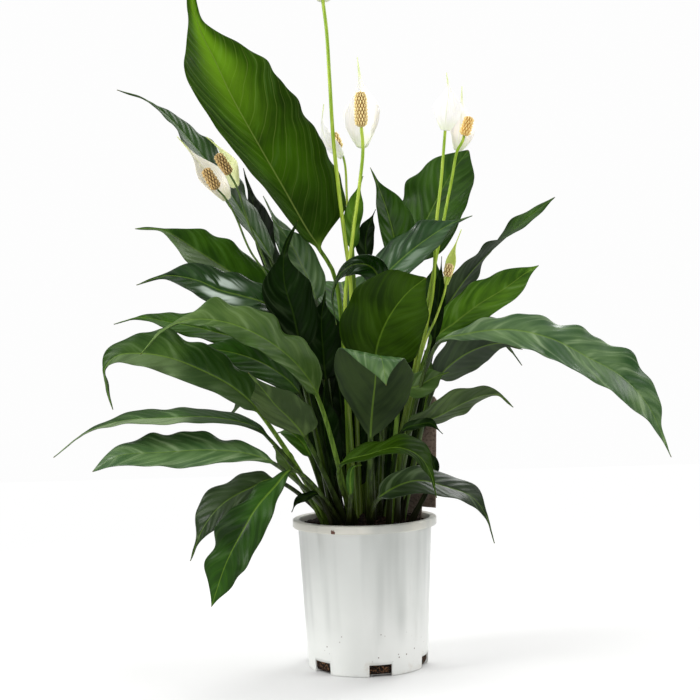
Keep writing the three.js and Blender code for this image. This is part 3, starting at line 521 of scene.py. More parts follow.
def strewn_chips(count, sides, spread):
    """Flat bark chips: an uneven ring of points above and below, each chip tilted, turned and laid
    down. In a chip the upper ring comes first, then the lower one and the two middle points."""
    angle = np.arange(sides) * 2 * pi / sides
    radius = random.uniform(*CHIP_UNEVEN, (count, sides)) * random.uniform(*CHIP_RADIUS, (count, 1))
    ring = np.stack([radius * np.cos(angle) * CHIP_LONG, radius * np.sin(angle) * CHIP_NARROW], -1)
    thick = random.uniform(*CHIP_HALF_THICK, (count, 1, 1))
    upper = np.concatenate([ring * CHIP_UPPER, np.broadcast_to(thick, (count, sides, 1))], -1)
    lower = np.concatenate([ring, np.broadcast_to(-thick, (count, sides, 1))], -1)
    middle = np.zeros((count, 2, 3))
    middle[:, 0, 2], middle[:, 1, 2] = thick[:, 0, 0] * CHIP_CROWN, -thick[:, 0, 0]
    x, y, z = np.moveaxis(np.concatenate([upper, lower, middle], 1), -1, 0)
    turn = random.uniform(0, 2 * pi, count)
    y, z = rotated(y, z, random.normal(0, CHIP_TILT, count))
    z, x = rotated(z, x, random.normal(0, CHIP_ROLL, count))
    x, y = rotated(x, y, turn)
    far, way = spread * np.sqrt(random.uniform(0.01, 1, count)), random.uniform(0, 2 * pi, count)
    seat_x, seat_y = far * np.cos(way), far * np.sin(way)
    seat_z = SOIL_TOP + lumps(seat_x, seat_y) + random.uniform(0.0, CHIP_STANDS, count)
    points = np.stack([x + seat_x[:, None], y + seat_y[:, None], z + seat_z[:, None]], -1)
    k = np.arange(sides)
    after = (k + 1) % sides
    wall = np.stack([sides + k, sides + after, after, k], -1)
    top = np.stack([k, after, np.full(sides, 2 * sides)], -1)
    bottom = np.stack([sides + after, sides + k, np.full(sides, 2 * sides + 1)], -1)
    shift = (2 * sides + 2) * np.arange(count)[:, None, None]
    faces = [(block[None] + shift).reshape(-1, block.shape[1]) for block in (wall, top, bottom)]
    return points.reshape(-1, 3), faces


# %% Soil and chips in place
soil = turned_piece("soil_fill", soil_profile(), SOIL_AROUND,
                    bark_and_peat("damp_peat", (8, 6, 4), (26, 19, 14)),
                    relief=lambda x, y, z: np.where(z > SOIL_TOP - 0.5, lumps(x, y), 0))
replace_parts(soil, "soil")

CHIP_MARGIN = 6               # mm that the middle of a chip keeps from the wall
chip_points, chip_faces = strewn_chips(CHIP_COUNT, CHIP_SIDES, inner_radius(SOIL_TOP) - CHIP_MARGIN)
chips = new_piece("bark_chips", chip_points, chip_faces,
                  bark_and_peat("bark_chip", (14, 9, 6), (58, 40, 28)), smooth_faces=False)
print("bark chips:", CHIP_COUNT, "faces in all:", len(chips.data.polygons))

# %% [markdown]
# ## Care tag
# The tag is a plain card on a stake. Its solid already has the right shape, so it stays and only gets
# a finish: grey-brown card with paper fibres, lighter in broad faded patches, cracked in fine dark
# lines and darker towards its lower end.

# %% Card finish
def tag_card():
    """Faded patches, a darker lower end, pale fibres and dark cracks, one over the other."""
    card = Finish("tag_card", roughness=0.62, Specular_IOR_Level=0.35)
    where = card.place()
    fibre = card.noise(card.place((400, 400, 90)), 1.0, 5, 0.6)
    faded = card.noise(where, 22, 3)
    crackle = card.noise(card.place((240, 240, 420)), 1.0, 4, 0.55)
    body = card.mix(card.step(faded, 0.35, 0.65), (122, 104, 92), (150, 130, 116))
    body = card.mix(card.step(card.height(where), 0.19, 0.145) * 0.55, body, (96, 84, 76))
    body = card.mix(card.step(fibre, 0.4, 0.7, 0.0, 0.3), body, (178, 160, 146))
    body = card.mix(card.step(crackle, 0.52, 0.60, 0.0, 0.55), body, (70, 54, 46))
    return card.done(body, fibre, 0.00015, 0.5)


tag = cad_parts["care_tag"]
tag.data.materials.clear()
tag.data.materials.append(tag_card())
print("care tag finish:", tag.data.materials[0].name)

# %% [markdown]
# ## Paths that stems and leaves follow
# A stem starts upright in the soil and bends smoothly through a few guide points. A centripetal
# curve passes through all of them without loops, so the same short list of points gives the plain
# solid and the fine piece. Along it goes a frame of three directions: along, across and upright.

# %% Smooth paths
SOIL_DEPTH = 12               # how far each stem stands in the soil
PATH_STEPS = 24               # samples between two guide points
STEM_FOCUS = 60               # height that the leans are measured from
STEM_SPREAD = 40              # distance from the middle of a stem that leans by STEM_LEAN
STEM_LEAN = 0.9
STEM_CROWDING = 0.6           # below 1, slighter leans lie further apart


def smooth(value):
    """Rises from 0 to 1 with level ends: x^2 (3 - 2x)."""
    x = np.clip(value, 0, 1)
    return x * x * (3 - 2 * x)


def unit(vectors):
    """Each vector divided by its length."""
    return vectors / np.linalg.norm(vectors, axis=-1, keepdims=True)


def curve_through(guides):
    """Centripetal Catmull-Rom curve: each span is a cubic whose end slopes weigh the chords on both
    sides by the square roots of their lengths."""
    p = np.asarray(guides, float)
    p = np.vstack([2 * p[0] - p[1], p, 2 * p[-1] - p[-2]])
    chord = np.sqrt(np.linalg.norm(np.diff(p, axis=0), axis=1))[:, None]
    a, b, c, d = p[:-3], p[1:-2], p[2:-1], p[3:]
    first, middle, last = chord[:-2], chord[1:-1], chord[2:]
    start = ((b - a) / first - (c - a) / (first + middle) + (c - b) / middle) * middle
    end = ((c - b) / middle - (d - b) / (middle + last) + (d - c) / last) * middle
    t = (np.arange(PATH_STEPS) / PATH_STEPS)[None, :, None]
    b, c, start, end = b[:, None], c[:, None], start[:, None], end[:, None]
    squared, cubed = 3 * c - 3 * b - 2 * start - end, 2 * b - 2 * c + start + end
    spans = b + start * t + squared * t ** 2 + cubed * t ** 3
    return np.vstack([spans.reshape(-1, 3), p[-2]])


print("path samples between guide points:", PATH_STEPS)


# %% Paths with a frame
def spine(guides, base, face):
    """The curve, its directions and the length so far. The upper side looks along face at guide
    point number base. From there it is carried from sample to sample without turning: what it
    has along the new direction is taken off it."""
    centre = curve_through(guides)
    count = len(centre)
    index = np.arange(count)
    along = unit(centre[np.minimum(index + 1, count - 1)] - centre[np.maximum(index - 1, 0)])
    start = base * PATH_STEPS
    level = lambda vector, i: unit(vector - vector.dot(along[i]) * along[i])
    upright = np.empty_like(centre)
    upright[start] = level(np.asarray(face, float), start)
    for i in range(start + 1, count):
        upright[i] = level(upright[i - 1], i)
    for i in range(start - 1, -1, -1):
        upright[i] = level(upright[i + 1], i)
    length = np.concatenate([[0], np.cumsum(np.linalg.norm(np.diff(centre, axis=0), axis=1))])
    return dict(centre=centre, along=along, upright=upright, length=length,
                base=length[start], end=length[-1])


def frames_at(path, distance, turn=0.0):
    """Centre, across and upright at distances along the path, turned about it by an angle."""
    pick = lambda name: np.stack([np.interp(distance, path["length"], axis) for axis in path[name].T], -1)
    centre, along, upright = pick("centre"), unit(pick("along")), pick("upright")
    upright = unit(upright - (upright * along).sum(-1, keepdims=True) * along)
    side = np.cross(along, upright)
    turn = np.broadcast_to(turn, np.shape(distance))[:, None]
    return centre, side * np.cos(turn) - upright * np.sin(turn), upright * np.cos(turn) + side * np.sin(turn)


def guides_from_soil(root, points):
    """Puts two points under the first: where the stem stands, in the soil and at its surface. Without
    a root of its own, a stem stands the further out from the middle the more it leans."""
    if root is None:
        x, y, z = points[0]
        reach = np.hypot(x, y)
        radius = STEM_SPREAD * (reach / (z - STEM_FOCUS) / STEM_LEAN) ** STEM_CROWDING
        root = (x / reach * radius, y / reach * radius)
    return [(*root, SOIL_TOP - SOIL_DEPTH), (*root, SOIL_TOP), *points]


print("stems stand", SOIL_DEPTH, "mm deep in the soil")

# %% [markdown]
# ## Leaf finish
# A peace lily leaf is glossy deep green above and dull grey-green beneath. A pale midrib runs down
# it, and from the midrib side veins leave at a steep angle and bend towards the tip. The pattern
# follows the leaf, so the mesh stores five numbers at each point: how far it is from the midrib, the
# count of side veins up to it, how near it is to the tip and to the edge, and whether it is on the
# underside. The nodes turn these into veins, and noise on object coordinates gives the clouding
# between them.

# %% Leaf finish
# LIT_STALK is the lit copy of the stalk colours, and leaf_green's default stalk colours the shaded copy:
# painted light and painted shade
LIT_STALK = ((70, 98, 24), (102, 132, 44))
GREENS = {}


def leaf_green(name, deep, fresh, sheen=0.06, gloss=0.40, shine=0.14, spread=0.125, lit=False, glint=0.0,
               painted_half_sheen=0.0, foot=0.0, rib=(104, 136, 40), beneath=((30, 46, 22), (56, 74, 42)),
               stalk=((30, 46, 8), (60, 82, 22))):
    """The upper side clouds from deep to fresh, the softer the larger spread is. sheen is a painted grey
    sheen in streaks that stands for reflected light, gloss the roughness, shine the strength of reflections
    and glint that of painted highlight bands beside the midrib. lit paints light shining through the outer
    half and painted shade towards the foot, dull paints a grey sheen on the left half as painted reflection,
    and foot paints shade on the blade near its stalk. rib, beneath and stalk colour the midrib, the
    underside and the stalk."""
    leaf = Finish(name=f"leaf_{name}_green", roughness=gloss, Specular_IOR_Level=shine)
    where = leaf.place()
    from_midrib, under = leaf.attribute("from_midrib"), leaf.attribute("underside")
    tip, edge = leaf.attribute("towards_tip"), leaf.attribute("towards_edge")
    count = leaf.attribute("vein_count") + leaf.noise(where, 24, 2)
    vein = leaf.step(leaf.ridges(count), 0.42, 0.5)
    fine = leaf.step(leaf.ridges(count * 7.0), 0.18, 0.5)
    across = abs(from_midrib)
    midrib = leaf.step(1.0 - across / leaf.step(tip, 0.0, 1.0, 1.35, 0.45), 0.0, 0.55)
    along_veins = leaf.add("CombineXYZ", {"X": count * 1.1, "Y": from_midrib * 0.035, "Z": under})
    streak = leaf.noise(along_veins, 1.0, 3, 0.5)
    blend = leaf.noise(where, 15, 3, 0.5) * 0.6 + streak * 0.4

    upper = leaf.mix(leaf.step(blend, 0.495 - spread, 0.495 + spread), deep, fresh)
    upper = leaf.mix(leaf.step(edge, 0.45, 1.0, 0.0, 0.5), upper, deep)
    # painted sheen: grey streaks that stand for light reflected off the upper side
    upper = leaf.mix(leaf.step(streak, 0.52, 0.72, 0.0, sheen), upper, (150, 170, 128))
    if lit:
        upper = leaf.mix(leaf.step(leaf.ridges(count * 0.62), 0.455, 0.5, 0.0, 0.35), upper, rib)
        # painted shade: the blade darkens towards its foot
        upper = leaf.mix(leaf.step(tip, 0.55, 0.0, 0.0, 0.65), upper, deep)
        # painted light: a bright patch in the outer half stands for light shining through the leaf
        painted_light_patch = leaf.step(tip, 0.35, 0.75) * leaf.step(edge, 0.7, 0.05, 0.0, 0.62)
        upper = leaf.mix(painted_light_patch, upper, (132, 184, 34))
    if glint:
        # painted highlight: bright whitish bands beside the midrib
        painted_light_patch = leaf.step(tip, 0.28, 0.42) * leaf.step(tip, 0.66, 0.5)
        beside = leaf.step(across, 3.0, 6.0) * leaf.step(edge, 0.75, 0.5)
        bands = painted_light_patch * (beside * leaf.step(blend, 0.51, 0.57))
        upper = leaf.mix(bands * glint, upper, (206, 220, 208))
    if painted_half_sheen:
        # painted reflection: a grey sheen over the left half of the blade
        side = leaf.step(from_midrib, 2.0, -2.0, 0.0, painted_half_sheen)
        upper = leaf.mix(side * leaf.step(blend, 0.42, 0.56, 0.55, 1.0), upper, (126, 146, 104))
    if foot:
        # painted shade on the blade near its stalk
        upper = leaf.mix(leaf.step(tip, 0.44, 0.34, 0.0, foot), upper, deep)
    upper = leaf.mix(vein * 0.06, upper, rib)
    upper = leaf.mix(fine * 0.22, upper, deep)
    lower = leaf.mix(leaf.step(blend, 0.40, 0.60), *beneath)
    lower = leaf.mix(vein * 0.18, lower, (30, 46, 22))
    lower = leaf.mix(fine * 0.2, lower, (30, 46, 22))
    body = leaf.mix(under, upper, lower)
    body = leaf.mix(midrib * 0.5, body, rib)
    body = leaf.mix(leaf.step(tip, 0.985, 1.0, 0.0, 0.7), body, (92, 74, 38))

    stripe = leaf.noise(leaf.place((260, 260, 20)), 1.0, 3)
    stem = leaf.mix(leaf.step(stripe, 0.35, 0.65), *stalk)
    # darker towards the soil: partly the brown of the sheaths and partly painted shade low in the clump, less
    # of it on lit stalks
    sheath_and_shade = 0.45 if stalk == LIT_STALK else 0.9
    stem = leaf.mix(leaf.step(leaf.height(where), 0.200, 0.142, 0.0, sheath_and_shade), stem, (22, 20, 8))
    body = leaf.mix(leaf.step(tip, 0.05, 0.0), body, stem)
    roughness = under * 0.22 + leaf.step(blend, 0.38, 0.62, gloss - 0.06, gloss + 0.10)
    panel = leaf.math("SINE", count * (2 * pi)) * leaf.step(blend, 0.40, 0.60, 0.15, 0.7 - 0.5 * shine)
    GREENS[name] = leaf.done(body, panel + streak, 0.00045, 0.55, roughness)


leaf_green("deep", (18, 42, 3), (38, 76, 6))
leaf_green("mild", (24, 44, 2), (48, 76, 5), sheen=0.02, shine=0.06)
leaf_green("shaded", (18, 36, 8), (42, 66, 18), sheen=0.2, shine=0.25)
leaf_green("pale", (50, 78, 24), (86, 112, 50), sheen=0.2, gloss=0.45, shine=0.2, stalk=LIT_STALK)
# painted reflection: greyed greens and a strong painted sheen stand for light reflected off the leaf
leaf_green("silvery", (42, 76, 34), (96, 126, 72), sheen=0.5, shine=0.45)
leaf_green("fresh", (28, 58, 1), (54, 94, 4))
leaf_green("half_dull", (28, 60, 1), (58, 100, 4), painted_half_sheen=0.55)
leaf_green("washed", (22, 52, 4), (48, 86, 16), sheen=0.3, painted_half_sheen=0.8, foot=0.9)
leaf_green("hooked", (30, 58, 12), (64, 94, 32), sheen=0.15, painted_half_sheen=0.35, foot=0.5, stalk=LIT_STALK)
leaf_green("bright", (42, 78, 4), (94, 140, 22), sheen=0.2, gloss=0.45, rib=(132, 162, 60), stalk=LIT_STALK)
leaf_green("sunlit", (24, 46, 1), (66, 108, 1), gloss=0.5, shine=0.05, spread=0.2, lit=True,
           rib=(132, 150, 74), stalk=LIT_STALK)
leaf_green("turned", (18, 42, 3), (38, 76, 6), beneath=((48, 66, 30), (84, 104, 58)))
# the folded leaf has the same greyed greens and painted sheen
leaf_green("folded", (42, 76, 34), (96, 126, 72), sheen=0.4, shine=0.2, beneath=((22, 38, 10), (46, 64, 26)))
# dark is painted shade: near-black greens for leaves deep in the clump and for their stalks, where shade
# falls
leaf_green("dark", (5, 17, 1), (14, 36, 2), shine=0.04, rib=(44, 68, 12), stalk=((8, 18, 2), (22, 38, 6)))
leaf_green("blue", (14, 42, 12), (44, 82, 32), gloss=0.3, shine=0.4, glint=0.2)
leaf_green("glossy", (10, 34, 4), (28, 64, 8), gloss=0.24, shine=0.3, glint=0.75)
print("leaf finishes:", list(GREENS))

# %% [markdown]
# ## Leaf shape
# A leaf is a long stalk that widens into a blade. One ring of points is carried along its path: a
# round ring in the stalk that opens into a flat blade with an upper and a lower skin 0.9 mm apart.
# The blade is folded a little along the midrib, its edges wave, and the skin swells between the side
# veins. A loft like this keeps the blade a closed solid, which a bare sheet would not be. Below, v
# goes from 0 at the blade's foot to 1 at its tip, and u from -1 at its left edge to 1 at its right.

# %% Measures of a leaf
PETIOLE_RADIUS = 2.9
PETIOLE_TOP_RADIUS = 2.1
PETIOLE_TAPER = 0.6           # part of its radius that the stalk loses inside the blade
BLADE = 0.9                   # thickness
BLADE_TIP = 0.35              # half width of the tip
BLADE_OPENS = 0.07            # part of the blade in which the round stalk opens out
NEAR_END = 0.999              # keeps a sine from its last zero
TAIL_LENGTH = 0.26            # part of the blade in which it is drawn in
TAIL_LOSS = 0.8
SKEW_TURNS = 0.6              # where along the blade a skew changes sides
WAVES = 1.8                   # waves of an edge
WAVE_SHIFT = 1.7              # from one edge's waves to the other's
CUPPING = 0.3                 # how much the halves level out towards the edge
MIDRIB = 1.5                  # how far it stands out below
MIDRIB_WIDTH = 1.8
MIDRIB_TAPER = 0.9
GROOVE = 0.5                  # depth of the groove above the midrib
GROOVE_WIDTH = 1.1
GROOVE_TAPER = 0.6
VEIN_SPACING = 13             # mm between side veins along the midrib
VEIN_SWELL = 0.20             # how far the skin swells between them
EDGE_THINNING = 0.45          # part of its thickness that the blade loses at the edge
SHEATH = 0.35                 # how much the stalk widens low down, where it clasps others
CHANNEL = 0.55                # depth of the channel along the stalk's upper side
RUFFLE_SPACING = 46           # mm between the small waves of an edge
RUFFLE_WIDENS = 0.022         # how much they widen the blade
RUFFLE_SWINGS = 0.9           # how much they add to the leaf's own waves
BLADE_ROWS = 132
ROW_SPREAD = 0.98             # a little below 1, rows lie closer towards the tip
STALK_ROWS = 26
ACROSS = 37                   # points across the blade
ACROSS_U = np.linspace(-1, 1, ACROSS)
ACROSS_U = np.sign(ACROSS_U) * np.abs(ACROSS_U) ** 1.25
RING_U = np.concatenate([ACROSS_U, ACROSS_U[::-1]])[None]
SKIN = np.repeat([1.0, -1.0], ACROSS)[None]     # upper and lower skin


class Leaf:
    """One row of the tables of leaves. width is the widest part in mm, face is where the upper side
    looks at the blade's foot, fold is how steeply both halves rise and wave how far the edges swing,
    and blade holds the guide points from its foot to its tip."""
    stalk = ()                # guide points between the soil and the blade
    root = None               # where it stands in the soil
    twist = 0                 # degrees by which the tip is turned
    ruffle = 1                # strength of the small waves
    widest = 0.72             # the smaller, the nearer to the foot is the widest part
    filled = 0.7              # the smaller, the fuller is the outline
    tail = 0.64               # where it starts to be drawn in to a tip
    sides = (1, 1)            # factors for the left and the right half
    skew = 0                  # widens the right half near the foot and the left one near the tip

    def __init__(self, name, green, width, face, fold, wave, blade, **more):
        self.name, self.green, self.width, self.face = name, green, width, face
        self.fold, self.wave, self.blade = fold, wave, blade
        self.__dict__.update(more)


print("a blade has", BLADE_ROWS, "rings of", 2 * ACROSS, "points")


# %% Outline, height and veins
def blade_half(leaf, v):
    """Half width: a sine, filled out, that is drawn in to a long thin tip from where the tail starts."""
    body = np.sin(pi * np.minimum(v, NEAR_END) ** leaf.widest) ** leaf.filled
    drawn = 1 - TAIL_LOSS * smooth((v - leaf.tail) / TAIL_LENGTH)
    return np.maximum(BLADE_TIP, 0.5 * leaf.width * body * drawn)


def blade_height(leaf, u, v, half):
    """Both halves rise from the midrib and level out, and waves grow with the square of u."""
    waves = leaf.wave * u * u * np.sin(2 * pi * WAVES * v + np.where(u > 0, WAVE_SHIFT, 0.0)) * np.sin(pi * v)
    return leaf.fold * np.abs(u) * half * (1 - CUPPING * np.abs(u)) + waves


def vein_count(u, v, half, length):
    """Number of side veins up to a point: its length along the leaf less the run of its vein, which
    leaves the midrib at 50 degrees and bends forward as it nears the edge."""
    run = half * np.abs(u) * (1.0 + 0.9 * np.abs(u) ** 1.6)
    return (v * length - run) / VEIN_SPACING


def ruffle(seed, u, v, length):
    """Small waves that run along both edges, each side with phases of its own: a sine and a quicker,
    weaker one."""
    phases = np.random.default_rng(seed).uniform(0, 2 * pi, 4)
    turn = 2 * pi * length / RUFFLE_SPACING * v
    left, right = [np.sin(turn + a) + 0.6 * np.sin(1.7 * turn + b) for a, b in (phases[:2], phases[2:])]
    return np.where(u > 0, right, left)


def stalk_ring(count):
    """A round ring of 2 x count points: the upper half from left to right, then back below."""
    angle = pi - (np.arange(2 * count) + 0.5) * pi / count
    return np.cos(angle), np.sin(angle)


def loft(name, frames, x, z, finish):
    """A closed tube: each ring lies at its frame's centre, x across it and z upright."""
    centre, side, upright = frames
    rows, around = x.shape
    grid = centre[:, None] + side[:, None] * x[..., None] + upright[:, None] * z[..., None]
    return new_piece(name, grid.reshape(-1, 3), [tube_faces(rows, around), cap_faces(rows, around)], finish)


# %% Leaf solid
def leaf_piece(leaf, seed):
    """One leaf as a closed tube: round rings in the stalk, and then rings of the blade. A ring of
    the blade is its height, swollen between the veins, half a thickness up or down, with a groove
    above the midrib and a rib below, and near the foot it is mixed with the stalk's round ring."""
    guides = guides_from_soil(leaf.root, [*leaf.stalk, *leaf.blade])
    path = spine(guides, len(guides) - len(leaf.blade), leaf.face)
    length = path["end"] - path["base"]
    v = np.linspace(0, 1, BLADE_ROWS) ** ROW_SPREAD
    in_stalk = np.linspace(0, path["base"], STALK_ROWS, endpoint=False)
    distance = np.concatenate([in_stalk, path["base"] + length * v])
    v = np.concatenate([np.zeros(STALK_ROWS), v])[:, None]
    frames = frames_at(path, distance, np.radians(leaf.twist) * smooth(v[:, 0]))

    u, size = RING_U, np.abs(RING_U)
    half = blade_half(leaf, v) * np.where(u > 0, leaf.sides[1], leaf.sides[0])
    half = half * (1 + leaf.skew * np.sign(u) * (SKEW_TURNS - v))
    edge = ruffle(seed, u, v, length)
    widened = RUFFLE_WIDENS * leaf.ruffle * edge * smooth(v / 0.15) * smooth((1 - v) / 0.1)
    count = vein_count(u, v, half, length)
    height = blade_height(leaf, u, v, half) + RUFFLE_SWINGS * leaf.wave * edge * size ** 3 * np.sin(pi * v)
    fading = np.minimum(size * 4, 1) * (1 - u ** 4) * np.sin(pi * v) ** 0.5
    swell = VEIN_SWELL * np.cos(2 * pi * count) * fading
    flat_x = u * (half * (1 + widened)) / np.sqrt(1 + leaf.fold ** 2)
    rib = MIDRIB * (1 - MIDRIB_TAPER * v) * np.exp(-(flat_x / MIDRIB_WIDTH) ** 2) * (SKIN < 0)
    dip = GROOVE * (1 - GROOVE_TAPER * v) * np.exp(-(flat_x / GROOVE_WIDTH) ** 2) * (SKIN > 0)
    flat_z = height + swell + SKIN * BLADE / 2 * (1 - EDGE_THINNING * size ** 6) - rib - dip

    ring_x, ring_z = stalk_ring(ACROSS)
    part = np.minimum(distance / path["base"], 1)[:, None]
    radius = PETIOLE_RADIUS + (PETIOLE_TOP_RADIUS - PETIOLE_RADIUS) * part
    radius = np.where(v > 0, PETIOLE_TOP_RADIUS * (1 - PETIOLE_TAPER * v), radius)
    sheath = 1 + SHEATH * smooth((0.55 - part) / 0.3) * smooth(part / 0.08)
    channel = CHANNEL * np.exp(-(ring_x * 1.8) ** 2) * (ring_z > 0)
    round_x, round_z = radius * ring_x * sheath, radius * (ring_z - channel * smooth(part / 0.1))
    grown = smooth(v / BLADE_OPENS)
    x = round_x + (flat_x - round_x) * grown
    z = round_z + (flat_z - round_z) * grown

    piece = loft(leaf.name + "_skin", frames, x, z, GREENS[leaf.green])
    note(piece, "from_midrib", np.where(v > 0, x, 6 * ring_x))
    note(piece, "vein_count", np.where(v > 0.03, count, 0.0))
    note(piece, "underside", (SKIN < 0) & (v > 0))
    note(piece, "towards_tip", np.broadcast_to(v, x.shape))
    note(piece, "towards_edge", size * (v > 0))
    return piece


print("midrib:", MIDRIB, "mm deep, side veins every", VEIN_SPACING, "mm")

# %% [markdown]
# ## Where each leaf grows
# These are the guide points of the 33 leaves, in mm, the same as those of the plain solids. After the
# name come the finish, the width, the face, the fold, the wave and the blade's points, and then
# whatever this leaf has different from others.

